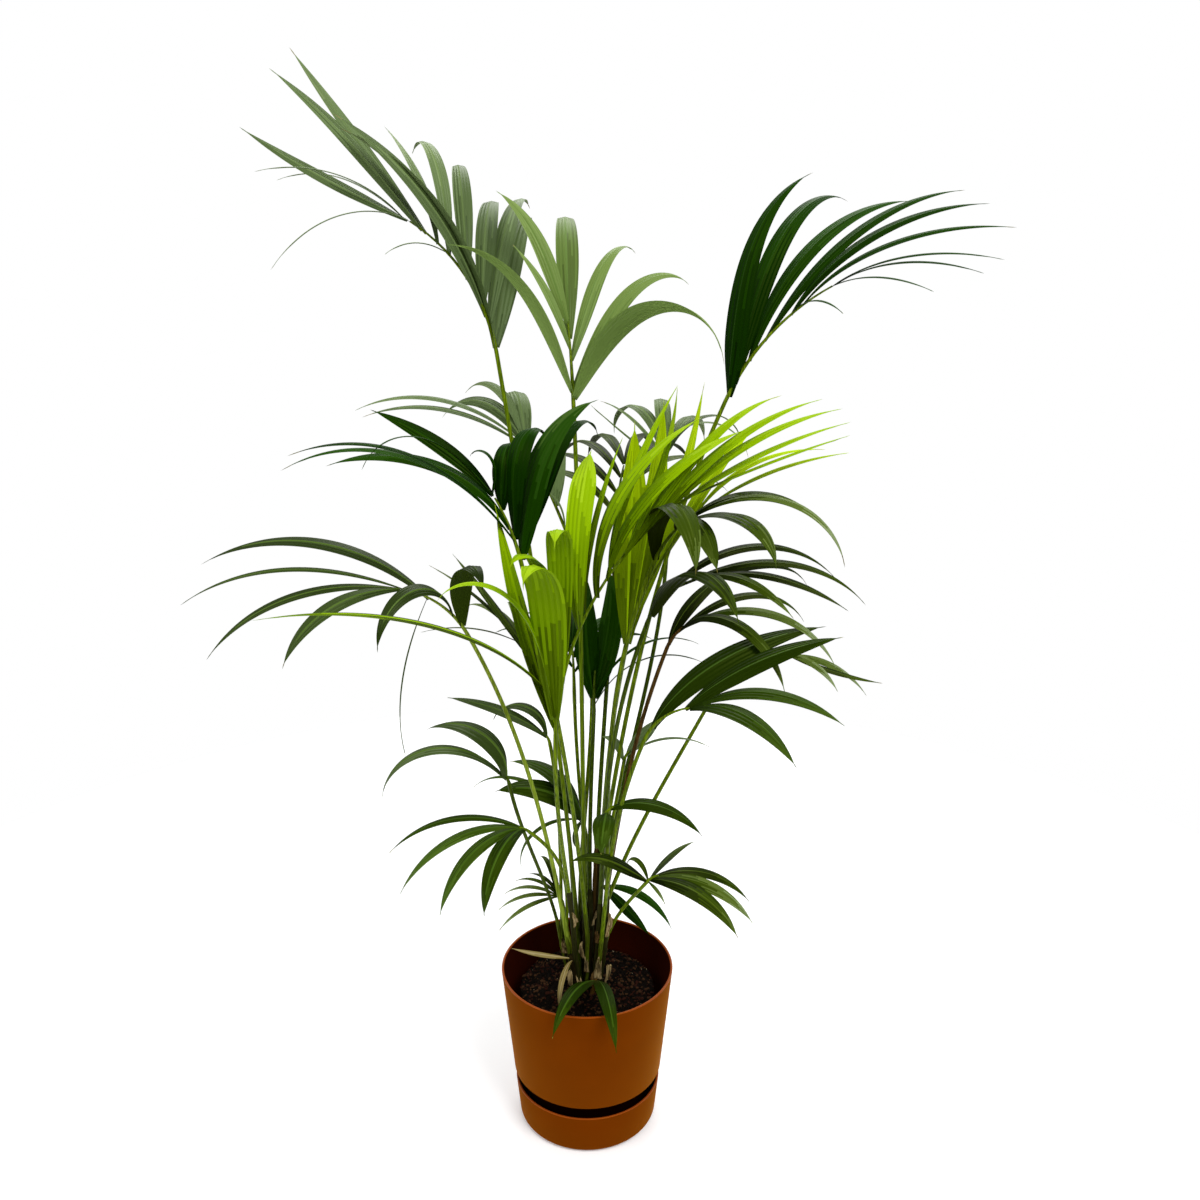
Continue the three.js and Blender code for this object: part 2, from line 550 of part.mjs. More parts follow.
// A leaflet is a blade with a keel under its midrib. Padding makes it thicker, for finding
// whether it would come too close to anything.
function leafletSolid(line, row, [turn, lift], padding = 0, first = 0) {
  const [at, bearing, rise, length, width, droop, roll, bend, broadest = LEAF.broadest] = row;
  const curve = new Drooping(line.getPoint(at), {
    bearing: bearing + turn, rise: rise + lift, length, droop, bend,
  });
  const thickness = Math.max(length * LEAF.thickness, LEAF.leastThickness);
  const steps = LEAF.steps + Math.round(Math.abs(droop) / LEAF.degreesPerStep);
  const level = heading(bearing + turn + 90, 0);
  const skipped = Math.ceil(first * steps);
  const rings = Array.from({ length: steps - skipped }, (_, i) => {
    const t = (i + skipped) / steps;
    const centre = curve.getPoint(t);
    const up = new THREE.Vector3().crossVectors(curve.getTangent(t), level);
    const across = level.clone().multiplyScalar(Math.cos(radians(roll)))
      .addScaledVector(up, Math.sin(radians(roll)));
    const above = up.multiplyScalar(Math.cos(radians(roll)))
      .addScaledVector(level, -Math.sin(radians(roll)));
    const half = Math.max(leafletProfile(t, broadest) * width, LEAF.threadWidth) / 2 + padding;
    const brow = centre.clone().addScaledVector(above, padding);
    return [
      brow.clone().addScaledVector(across, half),
      brow.clone().addScaledVector(across, -half),
      centre.clone().addScaledVector(above, -thickness - padding),
    ];
  });
  return solidOf(loft([...rings, [curve.getPoint(1)]]));
}

// ---------------------------------------------------------------------------
// Keeping clear: a stalk bows aside, and a leaflet turns or lifts, by the first of these amounts
// that leaves it clear of all that stands already. A leaflet with no clear place is left out.

const BOWS = [[0, 0]];
for (const bow of [5, 10, 15, 20, 26, 32]) {
  BOWS.push([0, bow], [0, -bow], [bow / 2, bow / 2], [-bow / 2, -bow / 2], [bow / 2, 0], [-bow / 2, 0]);
}
const TURNS = [[0, 0]];
for (const turn of [3, 6, 9, 13, 17, 22, 28]) {
  TURNS.push([turn, 0], [-turn, 0], [0, turn], [0, -turn], [turn, turn], [-turn, -turn],
    [turn, -turn], [-turn, turn]);
}
const PADDING = 0.35;

const standing = [];            // { name, solid, box } of all that has been placed

function stand(name, solid) {
  standing.push({ name, solid, box: solid.boundingBox() });
}

function apart(a, b) {
  return [0, 1, 2].some((axis) => a.max[axis] < b.min[axis] || b.max[axis] < a.min[axis]);
}

function isClearOf(others, solid) {
  const box = solid.boundingBox();
  return others.every((other) => apart(box, other.box) || other.solid.intersect(solid).isEmpty());
}

function isClear(solid, ownName) {
  return isClearOf(standing.filter((other) => other.name !== ownName), solid);
}

// ---------------------------------------------------------------------------
// Assembly

const plant = new THREE.Group();
plant.name = "kentia_palm";

function addPart(name, geometry, colour, roughness) {
  const flat = geometry.index ? geometry : mergeVertices(geometry);
  const mesh = new THREE.Mesh(flat, new THREE.MeshStandardMaterial({
    color: colour, roughness, metalness: 0, flatShading: true,
  }));
  mesh.name = name;
  plant.add(mesh);
  return mesh;
}

function addSolid(name, solid, colour, roughness) {
  return addPart(name, geometryFrom(solid), colour, roughness);
}

for (const [name, geometry, colour, roughness] of [
  ["pot_saucer", saucer(), TERRACOTTA, ROUGH.pot],
  ["pot_cup", cup(), TERRACOTTA, ROUGH.pot],
  ["root_ball", rootBall(), SOIL_BROWN, ROUGH.soil],
]) {
  const solid = solidOf(geometry);
  stand(name, solid);
  addSolid(name, solid, colour, roughness);
}

// One closed body: what fusing seals inside is filled, and no scrap is left loose.
function fused(solids) {
  const whole = solids.reduce((sum, piece) => sum.add(piece));
  return whole.decompose().reduce((best, piece) => (piece.volume() > best.volume() ? piece : best));
}

// Canes, one of them with its withered leaves
const bareLine = (point) => new Drooping(new THREE.Vector3(...point), {
  bearing: 0, rise: 90, length: 1, droop: 0, bend: 1,
});
CANES.forEach((cane) => {
  const pieces = [caneSolid(cane)];
  if (cane.name === "cane_front_left") {
    WITHERED_LEAVES.forEach(([foot, row]) => pieces.push(leafletSolid(bareLine(foot), row, [0, 0])));
  }
  const solid = fused(pieces);
  stand(cane.name, solid);
  addSolid(cane.name, solid, CANE_BROWN, ROUGH.cane);
});

// Stalks and rachises
const feet = stalkFeet(FRONDS);
const frames = new Map();       // the pieces of each blade, to which its leaflets are fused

const isSmall = (frond) => SMALL_FRONDS.includes(frond.name);
const rachisStart = (frond) => heading(frond.bearing, frond.rise);

FRONDS.filter((frond) => !isSmall(frond)).forEach((frond) => {
  const direction = rachisStart(frond);
  const start = new THREE.Vector3(...frond.foot).addScaledVector(direction, -STALK.collar);
  const collar = ringAround(start, direction, STALK.radius, STALK.sides);
  const solid = solidOf(loft([collar, ...rachisRings(frond)]));
  frames.set(frond.name, [solid]);
  stand(frond.name, solid);
});

FRONDS.forEach((frond) => {
  const direction = rachisStart(frond);
  const end = new THREE.Vector3(...frond.foot);
  if (!isSmall(frond)) end.addScaledVector(direction, -STALK.collar - CLEAR);
  const own = isSmall(frond) ? frond.name : `${frond.name}_stalk`;
  const rings = (bow, padding) => {
    const line = stalkLine(feet.get(frond.name), end, direction, bow);
    const stalk = stalkRings(line, STALK.steps, STALK.radius + padding);
    return isSmall(frond) ? [...stalk.slice(0, -1), ...rachisRings(frond)] : stalk;
  };
  const trimmed = (bow) => rings(bow, PADDING).slice(1, isSmall(frond) ? undefined : -1);
  const bow = BOWS.find((amount) => isClear(solidOf(loft(trimmed(amount))), own)) ?? BOWS[0];
  const solid = solidOf(loft(rings(bow, 0)));
  stand(own, solid);
  if (isSmall(frond)) frames.set(frond.name, [solid]);
  else addSolid(own, solid, STALK_GREEN, ROUGH.stalk);
});

// The seedling's leaf, on a stalk of its own
{
  const foot = new THREE.Vector3(...FRONT_LEAF.foot);
  const root = new THREE.Vector3(...FRONT_LEAF.root, SOIL.height + CLEAR);
  const line = stalkLine(root, foot, heading(...FRONT_LEAF.leaving), [0, 0]);
  const stalk = solidOf(loft(stalkRings(line, FRONT_LEAF.steps, STALK.radius)));
  const lobes = FRONT_LEAF.lobes.map((row) => leafletSolid(line, row, [0, 0]));
  const solid = fused([stalk, ...lobes]);
  stand("leaf_front", solid);
  addSolid("leaf_front", solid, TINTS.dark, ROUGH.leaf);
}

// Blades: each rachis with the leaflets that find a clear place
FRONDS.forEach((frond) => {
  const line = rachisLine(frond);
  const pieces = frames.get(frond.name);
  const siblings = [];
  leafletRows(frond).forEach((row) => {
    const outer = (amount) => leafletSolid(line, row, amount, PADDING, LEAF.free);
    const place = TURNS.find((amount) => isClear(leafletSolid(line, row, amount, PADDING), frond.name)
      && isClearOf(siblings, outer(amount)));
    if (!place) return;
    const leaflet = leafletSolid(line, row, place);
    pieces.push(leaflet);
    stand(frond.name, leaflet);
    siblings.push(...standing.slice(-1));
  });
  addSolid(frond.name, fused(pieces), TINTS[frond.tint], ROUGH.leaf);
});

export default plant;
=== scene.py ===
# %% [markdown]
# # A potted kentia palm
#
# The plant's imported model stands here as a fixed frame. Each cell below makes one piece again,
# or one finish, the way the real one grew or was moulded, and puts it where the frame says.
# All is in metres, with Z up and the origin under the middle of the saucer.

# %% Load the fixed frame
import json
import math
import random
from collections import namedtuple

import bmesh
import bpy
import numpy as np
from mathutils import Matrix, Vector, noise


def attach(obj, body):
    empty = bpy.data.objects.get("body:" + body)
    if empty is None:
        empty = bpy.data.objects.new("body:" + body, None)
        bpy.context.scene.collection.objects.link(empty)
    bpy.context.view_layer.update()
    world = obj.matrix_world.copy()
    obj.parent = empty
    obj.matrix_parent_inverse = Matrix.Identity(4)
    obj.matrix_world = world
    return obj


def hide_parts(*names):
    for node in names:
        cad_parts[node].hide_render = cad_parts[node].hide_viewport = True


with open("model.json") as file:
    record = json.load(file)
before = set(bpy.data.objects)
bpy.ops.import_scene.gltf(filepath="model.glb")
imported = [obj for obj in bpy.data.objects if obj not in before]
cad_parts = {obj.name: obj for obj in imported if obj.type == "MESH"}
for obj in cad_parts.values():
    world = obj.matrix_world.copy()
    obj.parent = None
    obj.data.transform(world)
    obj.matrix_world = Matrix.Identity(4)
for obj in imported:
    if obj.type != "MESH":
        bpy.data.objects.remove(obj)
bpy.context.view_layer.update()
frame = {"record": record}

slots = {part["node"]: part["material_slot"] for part in frame["record"]["subparts"]}

# %% [markdown]
# ## Camera and studio
#
# A plant of this height is seen whole from about a metre and a half, a little from above. The
# camera could be aimed with a Track To constraint, but three plain numbers for its place and one
# for its tilt say the same and never drift.

# %% Camera
MM = 0.001                      # metres in a millimetre
CAMERA_PLACE = (0.018, -1.463, 1.256)
CAMERA_TILT = 71.9              # degrees up from looking straight down
SENSOR_WIDTH = 36
FOCAL_LENGTH = 36.39

lens = bpy.data.cameras.new("camera")
lens.sensor_width, lens.lens = SENSOR_WIDTH, FOCAL_LENGTH
camera = bpy.data.objects.new("camera", lens)
camera.location = CAMERA_PLACE
camera.rotation_euler = (math.radians(CAMERA_TILT), 0, 0)
bpy.context.scene.collection.objects.link(camera)
bpy.context.scene.camera = camera
bpy.context.scene.view_settings.view_transform = "Standard"
print("camera", CAMERA_PLACE, "focal length", FOCAL_LENGTH)

# %% [markdown]
# Every material and the sky are built from nodes, so two helpers come first. One turns a colour
# as it is read off a screen into the linear light that a shader wants. The other adds any node
# with its settings, and links those inputs that are given another node's output.

# %% Helpers for colours and nodes
def linear(hex_colour):
    """A hex colour such as #a0b0c0 as linear red, green, blue and alpha."""
    channels = [int(hex_colour[i:i + 2], 16) / 255 for i in (1, 3, 5)]
    return [c / 12.92 if c <= 0.04045 else ((c + 0.055) / 1.055) ** 2.4 for c in channels] + [1]


def add_node(tree, kind, inputs=None, **settings):
    """Adds a node; inputs gives each input's value, or the output that it is linked to."""
    made = tree.nodes.new(kind)
    for name, value in settings.items():
        setattr(made, name, value)
    for name, value in (inputs or {}).items():
        if isinstance(value, bpy.types.NodeSocket):
            tree.links.new(value, made.inputs[name])
        else:
            made.inputs[name].default_value = value
    return made


def new_material(name, colour, roughness, **shader_inputs):
    """A material with one Principled shader of plain values, and that shader."""
    material = bpy.data.materials.new(name)
    material.use_nodes = True
    shader = material.node_tree.nodes["Principled BSDF"]
    shader.inputs["Base Color"].default_value = linear(colour)
    shader.inputs["Roughness"].default_value = roughness
    for socket, value in shader_inputs.items():
        shader.inputs[socket.replace("_", " ")].default_value = value
    return material, shader

# %% [markdown]
# The studio is a white room: a disc of pale floor, a ceiling that glows more than the walls, and
# wide lamps above. The room is white to look at, but dimmer as a lamp, and dimmest level with the
# plant, so that undersides and the heart of the plant keep their depth.

# %% Studio
WALL_LIGHT, CEILING_LIGHT = 0.12, 0.85
ROOM_SEEN = 1.0                 # how bright the camera sees the room
FLOOR_RADIUS, FLOOR_SIDES, FLOOR_GLOW = 1.5, 64, 0.15
LAMPS = [                       # name, place, watts, width
    ("key lamp", (1.5, -2.0, 3.2), 85, 1.8),
    ("side lamp", (-2.2, -1.4, 2.6), 30, 1.8),
    ("back lamp", (0.2, 2.2, 3.0), 40, 2.0),
]
AIM = Vector((0, 0, 0.7))       # the middle of the plant

sky = bpy.data.worlds.new("white room")
sky.use_nodes = True
sky_nodes = sky.node_tree
path = add_node(sky_nodes, "ShaderNodeLightPath")
direction = add_node(sky_nodes, "ShaderNodeTexCoord").outputs["Generated"]
upwards = add_node(sky_nodes, "ShaderNodeSeparateXYZ", {0: direction}).outputs["Z"]
glow = add_node(sky_nodes, "ShaderNodeMapRange",
                {"Value": upwards, "To Min": WALL_LIGHT, "To Max": CEILING_LIGHT})
strength = add_node(sky_nodes, "ShaderNodeMix", {"Factor": path.outputs["Is Camera Ray"],
                                                 "A": glow.outputs[0], "B": ROOM_SEEN})
background = sky_nodes.nodes["Background"]
background.inputs["Color"].default_value = (1, 1, 1, 1)
sky_nodes.links.new(strength.outputs[0], background.inputs["Strength"])
bpy.context.scene.world = sky

for name, place, watts, width in LAMPS:
    lamp = bpy.data.lights.new(name, "AREA")
    lamp.energy, lamp.size = watts, width
    holder = bpy.data.objects.new(name, lamp)
    holder.location = place
    holder.rotation_euler = (AIM - Vector(place)).to_track_quat("-Z", "Y").to_euler()
    bpy.context.scene.collection.objects.link(holder)
print("lamps", len(LAMPS))

# %% Pieces from a bmesh
def add_piece(name, bm, materials, nodes=(), smooth=True):
    """Turns a bmesh into an object that rides with the plant and stands for some nodes."""
    mesh = bpy.data.meshes.new(name)
    bm.to_mesh(mesh)
    bm.free()
    return add_mesh(name, mesh, materials, nodes, smooth)


def add_mesh(name, mesh, materials, nodes=(), smooth=True):
    """The same for a mesh that is ready."""
    for material in materials:
        mesh.materials.append(material)
    if smooth:
        mesh.shade_smooth()
    piece = bpy.data.objects.new(name, mesh)
    bpy.context.scene.collection.objects.link(piece)
    if nodes:
        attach(piece, "root")
        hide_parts(*nodes)
    print(name, len(mesh.polygons), "faces")
    return piece

# %% Floor
floor_bm = bmesh.new()
bmesh.ops.create_circle(floor_bm, cap_ends=True, segments=FLOOR_SIDES, radius=FLOOR_RADIUS)
floor_paint, floor_shader = new_material("matte white floor", "#fafafa", 0.9,
                                         Specular_IOR_Level=0.0, Emission_Strength=FLOOR_GLOW)
floor_shader.inputs["Emission Color"].default_value = (1, 1, 1, 1)
floor = add_piece("floor", floor_bm, [floor_paint])

# %% [markdown]
# ## Pot and saucer
#
# The real pot is injection-moulded plastic: a tapered cup with a thin rounded rim that stands in
# a deep saucer, whose wall carries the same taper on below a dark gap. A pot can be lathed from
# a curve with a Screw modifier, or drawn as a wire and spun. The wire is spun here, because its
# points are the pot's real radii and heights, and the corners are then rounded by one bevel.

# %% Pot sizes
POT_HEIGHT, RIM_RADIUS, FOOT_RADIUS = 240, 120, 97
WALL, EDGE_DEPTH = 3.2, 1.2     # thickness of the cup's wall, and height of its glossy edge with a painted highlight
SAUCER_HEIGHT, SAUCER_WALL, SAUCER_FLOOR = 62, 3, 4
SKIRT, CUP_FOOT, CUP_FLOOR = 80.5, 84, 5
DRAFT = 3                       # how far the cup's foot widens up to its skirt
CLEAR = 0.3                     # between two pieces that rest on each other
SPIN_STEPS = 144
TINY, SAME_RING = 1e-6, 2e-4    # metres: what counts as one point, and as one height or radius


def taper(height):
    """Outer radius of the pot's wall at a height."""
    return FOOT_RADIUS + (RIM_RADIUS - FOOT_RADIUS) * height / POT_HEIGHT


def spun(profile):
    """Spins a wire of [radius, height], in millimetres, round the upright axis."""
    bm = bmesh.new()
    wire = [bm.verts.new((r * MM, 0, z * MM)) for r, z in profile]
    edges = [bm.edges.new(pair) for pair in zip(wire, wire[1:])]
    bmesh.ops.spin(bm, geom=wire + edges, cent=(0, 0, 0), axis=(0, 0, 1), angle=2 * math.pi,
                   steps=SPIN_STEPS, use_merge=True)
    bmesh.ops.remove_doubles(bm, verts=bm.verts, dist=TINY)
    bmesh.ops.recalc_face_normals(bm, faces=bm.faces)
    return bm


def round_off(bm, radius, height, offset, segments=5):
    """Rounds the ring of edges at a radius and height, in millimetres."""
    near = [e for e in bm.edges if all(
        abs(math.hypot(v.co.x, v.co.y) - radius * MM) < SAME_RING
        and abs(v.co.z - height * MM) < SAME_RING for v in e.verts)]
    bmesh.ops.bevel(bm, geom=near, offset=offset * MM, affect="EDGES", segments=segments,
                    profile=0.5, material=-1)

# %% [markdown]
# The plastic is polypropylene with its colour all through, matte from the mould. Up close the
# mould's fine grain breaks the highlight up, and a faint mottling keeps the wall from looking
# painted. Both are noise on Object coordinates, so they go round the pot without a seam.

# %% Moulded plastic
WARM_SHEEN = (1, 0.42, 0.02, 1) # the sheen of pigment that shines through the clear skin
GRAIN_SIZE, GRAIN_DEPTH = 1.6, 0.2      # mm; the real grain is finer, and would not show
MOTTLE_SIZE = 45                # mm
MOTTLED_GLOSS = (0.44, 0.56)    # roughness from one patch to the next

plastic, plastic_shader = new_material(
    "moulded polypropylene, burnt orange", "#622700", 0.55, Specular_IOR_Level=0.002,
    Specular_Tint=WARM_SHEEN, Sheen_Weight=0.26, Sheen_Tint=WARM_SHEEN)
tree = plastic.node_tree
place = add_node(tree, "ShaderNodeTexCoord").outputs["Object"]
mottle = add_node(tree, "ShaderNodeTexNoise", {"Vector": place, "Scale": 1 / (MOTTLE_SIZE * MM),
                                               "Detail": 3.0})
shade = add_node(tree, "ShaderNodeValToRGB", {"Fac": mottle.outputs["Fac"]})
shade.color_ramp.elements[0].color = linear("#5e2500")
shade.color_ramp.elements[1].color = linear("#682a00")
tree.links.new(shade.outputs["Color"], plastic_shader.inputs["Base Color"])
grain = add_node(tree, "ShaderNodeTexNoise", {"Vector": place, "Scale": 1 / (GRAIN_SIZE * MM),
                                              "Detail": 2.0})
relief = add_node(tree, "ShaderNodeBump", {"Height": grain.outputs["Fac"], "Strength": 0.15,
                                           "Distance": GRAIN_DEPTH * MM})
tree.links.new(relief.outputs["Normal"], plastic_shader.inputs["Normal"])
gloss = add_node(tree, "ShaderNodeMapRange", {
    "Value": mottle.outputs["Fac"], "To Min": MOTTLED_GLOSS[0], "To Max": MOTTLED_GLOSS[1]})
tree.links.new(gloss.outputs[0], plastic_shader.inputs["Roughness"])

# Edges are glossy and lighter as a painted highlight; inside and in the gap the wall is painted
# shade
glossy_painted_highlight, _ = new_material("moulded polypropylene, polished edge", "#8c3e10", 0.3,
                           Specular_IOR_Level=0.3, Specular_Tint=WARM_SHEEN)
painted_shade_plastic, _ = new_material("moulded polypropylene, peat stained", "#2e0802", 0.6,
                          Specular_IOR_Level=0.1, Specular_Tint=WARM_SHEEN)
PAINTED_HIGHLIGHT_EDGE, PAINTED_SHADE_FINISH = 1, 2
pot_finishes = [plastic, glossy_painted_highlight, painted_shade_plastic]
print("materials", [material.name for material in pot_finishes])


def finish_pot(bm, top, skirt):
    """Deals its finishes: painted shade inside and under the skirt, a painted highlight at the rim.
    """
    under_skirt = (skirt + 0.1) * MM        # with a hair's breadth for faces level with it
    for face in bm.faces:
        middle = face.calc_center_median()
        inside = face.normal.dot(Vector((middle.x, middle.y, 0))) < -TINY
        # rim faces get the painted highlight, faces inside and under the skirt the painted shade
        if middle.z > (top - EDGE_DEPTH) * MM:
            face.material_index = PAINTED_HIGHLIGHT_EDGE
        elif inside or middle.z < under_skirt:
            face.material_index = PAINTED_SHADE_FINISH

# %% Saucer
saucer_foot, saucer_top = taper(0), taper(SAUCER_HEIGHT)
inner_foot, inner_top = saucer_foot - SAUCER_WALL - 1, saucer_top - SAUCER_WALL
saucer_bm = spun([
    (0, 0), (saucer_foot, 0), (saucer_top, SAUCER_HEIGHT), (inner_top, SAUCER_HEIGHT),
    (inner_foot, SAUCER_FLOOR), (0, SAUCER_FLOOR),
])
round_off(saucer_bm, saucer_foot, 0, offset=9, segments=8)
for radius in (saucer_top, inner_top):
    round_off(saucer_bm, radius, SAUCER_HEIGHT, offset=1.2, segments=3)
round_off(saucer_bm, inner_foot, SAUCER_FLOOR, offset=5)
finish_pot(saucer_bm, SAUCER_HEIGHT, 0)
add_piece("pot_saucer_moulded", saucer_bm, pot_finishes, ["pot_saucer"])

# %% Cup
cup_bottom = SAUCER_FLOOR + CLEAR
inner = lambda height: taper(height) - WALL
shoulder, ledge = SKIRT + 8, SKIRT - 4  # the wall inside follows the step outside between these
cup_bm = spun([
    (0, cup_bottom), (CUP_FOOT, cup_bottom), (CUP_FOOT + DRAFT, SKIRT), (taper(SKIRT), SKIRT),
    (taper(POT_HEIGHT), POT_HEIGHT), (inner(POT_HEIGHT), POT_HEIGHT), (inner(shoulder), shoulder),
    (CUP_FOOT - WALL + DRAFT, ledge), (CUP_FOOT - WALL, cup_bottom + CUP_FLOOR),
    (0, cup_bottom + CUP_FLOOR),
])
round_off(cup_bm, CUP_FOOT, cup_bottom, offset=4)
round_off(cup_bm, taper(SKIRT), SKIRT, offset=0.8, segments=3)
for radius in (taper(POT_HEIGHT), inner(POT_HEIGHT)):
    round_off(cup_bm, radius, POT_HEIGHT, offset=1.4)
finish_pot(cup_bm, POT_HEIGHT, SKIRT)
add_piece("pot_cup_moulded", cup_bm, pot_finishes, ["pot_cup"])

# %% [markdown]
# ## Potting mix
#
# Damp peat with bark chips, reddish fibre and a few pale grit specks. A displaced surface alone
# looks like cloth, and scattered grains alone leave holes, so a lumpy ball of mix comes first,
# spun like the pot and pushed up and down by noise, with a few thousand grains on it.

# %% Soil sizes and finishes
SOIL_LEVEL, SOIL_SHOULDER, SOIL_BOTTOM = 208, 203, 20
SOIL_FLAT, SOIL_RADIUS, SOIL_FOOT = 62, 95, 76
LUMP_SIZE, LUMP_HEIGHT = 22, 3.2        # mm
CRUMB_SIZE, CRUMB_HEIGHT = 5, 1.4       # mm
RELIEF_SIZE = CRUMB_SIZE / 4            # mm, for what is too fine to be a grain


def soil_height(radius):
    """Level of the mix at a distance from the middle, in millimetres."""
    past = max(0, radius - SOIL_FLAT) / (SOIL_RADIUS - SOIL_FLAT)
    return SOIL_LEVEL + (SOIL_SHOULDER - SOIL_LEVEL) * past


def earthen(name, colour, roughness=0.95):
    """A matte, crumbly finish: plain colour under a coarse noise relief."""
    material, shader = new_material(name, colour, roughness, Specular_IOR_Level=0.05)
    tree = material.node_tree
    place = add_node(tree, "ShaderNodeTexCoord").outputs["Object"]
    crumbs = add_node(tree, "ShaderNodeTexNoise",
                      {"Vector": place, "Scale": 1 / (RELIEF_SIZE * MM), "Detail": 4.0})
    relief = add_node(tree, "ShaderNodeBump", {"Height": crumbs.outputs["Fac"], "Strength": 0.8,
                                               "Distance": 1 * MM})
    tree.links.new(relief.outputs["Normal"], shader.inputs["Normal"])
    return material


soil_finishes = [
    earthen("damp peat, near black", "#0a0603"), earthen("peat, dark brown", "#140b06"),
    earthen("bark chip, red brown", "#2a130b"), earthen("bark chip, dry brown", "#3a2616"),
    earthen("grit speck, pale", "#8a7b62", 0.8),
]
BLACK_PEAT, BROWN_PEAT, RED_CHIP, DRY_CHIP, GRIT = range(5)

# %% Ball of mix
RING_SPACING = 2                # mm between the rings that the top is lumped by
EDGE_HEIGHT, LUMPED_DEPTH = 12, 5       # mm down from the shoulder
soil_profile = [(r, soil_height(r)) for r in range(0, SOIL_RADIUS + 1, RING_SPACING)]
soil_bm = spun(soil_profile + [(SOIL_RADIUS, SOIL_SHOULDER - EDGE_HEIGHT),
                               (SOIL_FOOT, SOIL_BOTTOM), (0, SOIL_BOTTOM)])
for vert in soil_bm.verts:
    if vert.co.z > (SOIL_SHOULDER - LUMPED_DEPTH) * MM:
        lump = noise.noise(vert.co / (LUMP_SIZE * MM)) * LUMP_HEIGHT
        crumb = noise.noise(vert.co / (CRUMB_SIZE * MM)) * CRUMB_HEIGHT
        vert.co.z += (lump + crumb) * MM
add_piece("potting_mix", soil_bm, soil_finishes[:1], ["root_ball"])

# %% Grains
GRAINS = 4800
CHIP_SHARE, SPECK_SHARE = 0.2, 0.012
SPECK_SIZES, CHIP_SIZES, CRUMB_SIZES = (0.7, 1.5), (1.6, 3.2), (0.8, 2.2)       # mm
SQUASH = ((0.5, 1.5), (0.4, 1), (0.3, 0.7))     # the least and the most along each axis
GRAIN_TILT = 0.7                # radians, at most
GRAIN_REACH, GRAIN_LIFT = 0.985, 0.3    # shares of the mix's radius and of a grain's size
chance = random.Random("grains")

ball = bmesh.new()
bmesh.ops.create_icosphere(ball, subdivisions=1, radius=1)
grain_points = np.array([v.co for v in ball.verts])
grain_faces = np.array([[v.index for v in f.verts] for f in ball.faces])
ball.free()

points, faces, finishes = [], [], []
for number in range(GRAINS):
    radius = SOIL_RADIUS * math.sqrt(chance.random()) * GRAIN_REACH
    angle = chance.uniform(0, 2 * math.pi)
    kind = chance.random()
    if kind < SPECK_SHARE:
        size, finish = chance.uniform(*SPECK_SIZES), GRIT
    elif kind < CHIP_SHARE:
        size, finish = chance.uniform(*CHIP_SIZES), chance.choice([RED_CHIP, DRY_CHIP])
    else:
        size = chance.uniform(*CRUMB_SIZES)
        finish = chance.choice([BLACK_PEAT, BLACK_PEAT, BROWN_PEAT])
    squash = np.array([chance.uniform(*limits) for limits in SQUASH])
    turn = Matrix.Rotation(chance.uniform(0, 2 * math.pi), 3, "Z") @ \
        Matrix.Rotation(chance.uniform(-GRAIN_TILT, GRAIN_TILT), 3, "X")
    centre = Vector((radius * math.cos(angle), radius * math.sin(angle), soil_height(radius))) * MM
    centre.z += (noise.noise(centre / (LUMP_SIZE * MM)) * LUMP_HEIGHT + size * GRAIN_LIFT) * MM
    shape = grain_points * squash * size * MM
    points.append(shape @ np.array(turn).T + np.array(centre))
    faces.append(grain_faces + number * len(grain_points))
    finishes += [finish] * len(grain_faces)
grain_mesh = bpy.data.meshes.new("grains")
grain_mesh.from_pydata(np.concatenate(points).tolist(), [], np.concatenate(faces).tolist())
grain_mesh.polygons.foreach_set("material_index", finishes)
add_mesh("potting_mix_grains", grain_mesh, soil_finishes, ["root_ball"], smooth=False)

# %% [markdown]
# ## How the plant grows
#
# Seven short canes stand in the mix. From their tops rise the stalks, each with a blade at its
# end: a rachis that arches over and a comb of long leaflets. One table tells all of it, in
# millimetres and degrees. Directions are a bearing, counted from the plant's right towards its
# back, and a rise above level. A frond's row gives its cane, where its blade starts, the bearing
# and rise that its rachis sets off with, the rachis's length and how far it arches over, and the
# tint of its leaflets. A fan is a count of leaflets with its first and its last one, and the
# others are shared out between them. A leaflet is its place along the rachis, bearing, rise,
# length, width, droop, roll and bend: how late along its length it droops. It may end with the
# place where it is broadest.

# %% Canes
CANES = [                       # name, top [x, y], height above the mix, radius
    ("cane_left", (-32, 2), 75, 9.5),
    ("cane_front_left", (-20, -20), 60, 9),
    ("cane_back_left", (-12, 20), 85, 9),
    ("cane_middle", (1, -4), 90, 9.5),
    ("cane_tall", (17, 10), 200, 8.5),
    ("cane_front_right", (20, -18), 70, 9.5),
    ("cane_back", (8, 30), 60, 9.5),
]
CANE_FOOT = 0.72                # radius of a cane's foot over its top's
CANE_SPREAD = 0.65              # how far apart the feet stand over how far the tops do
STALK_RING = 5.7                # the stalks on a cane stand in a ring of this radius

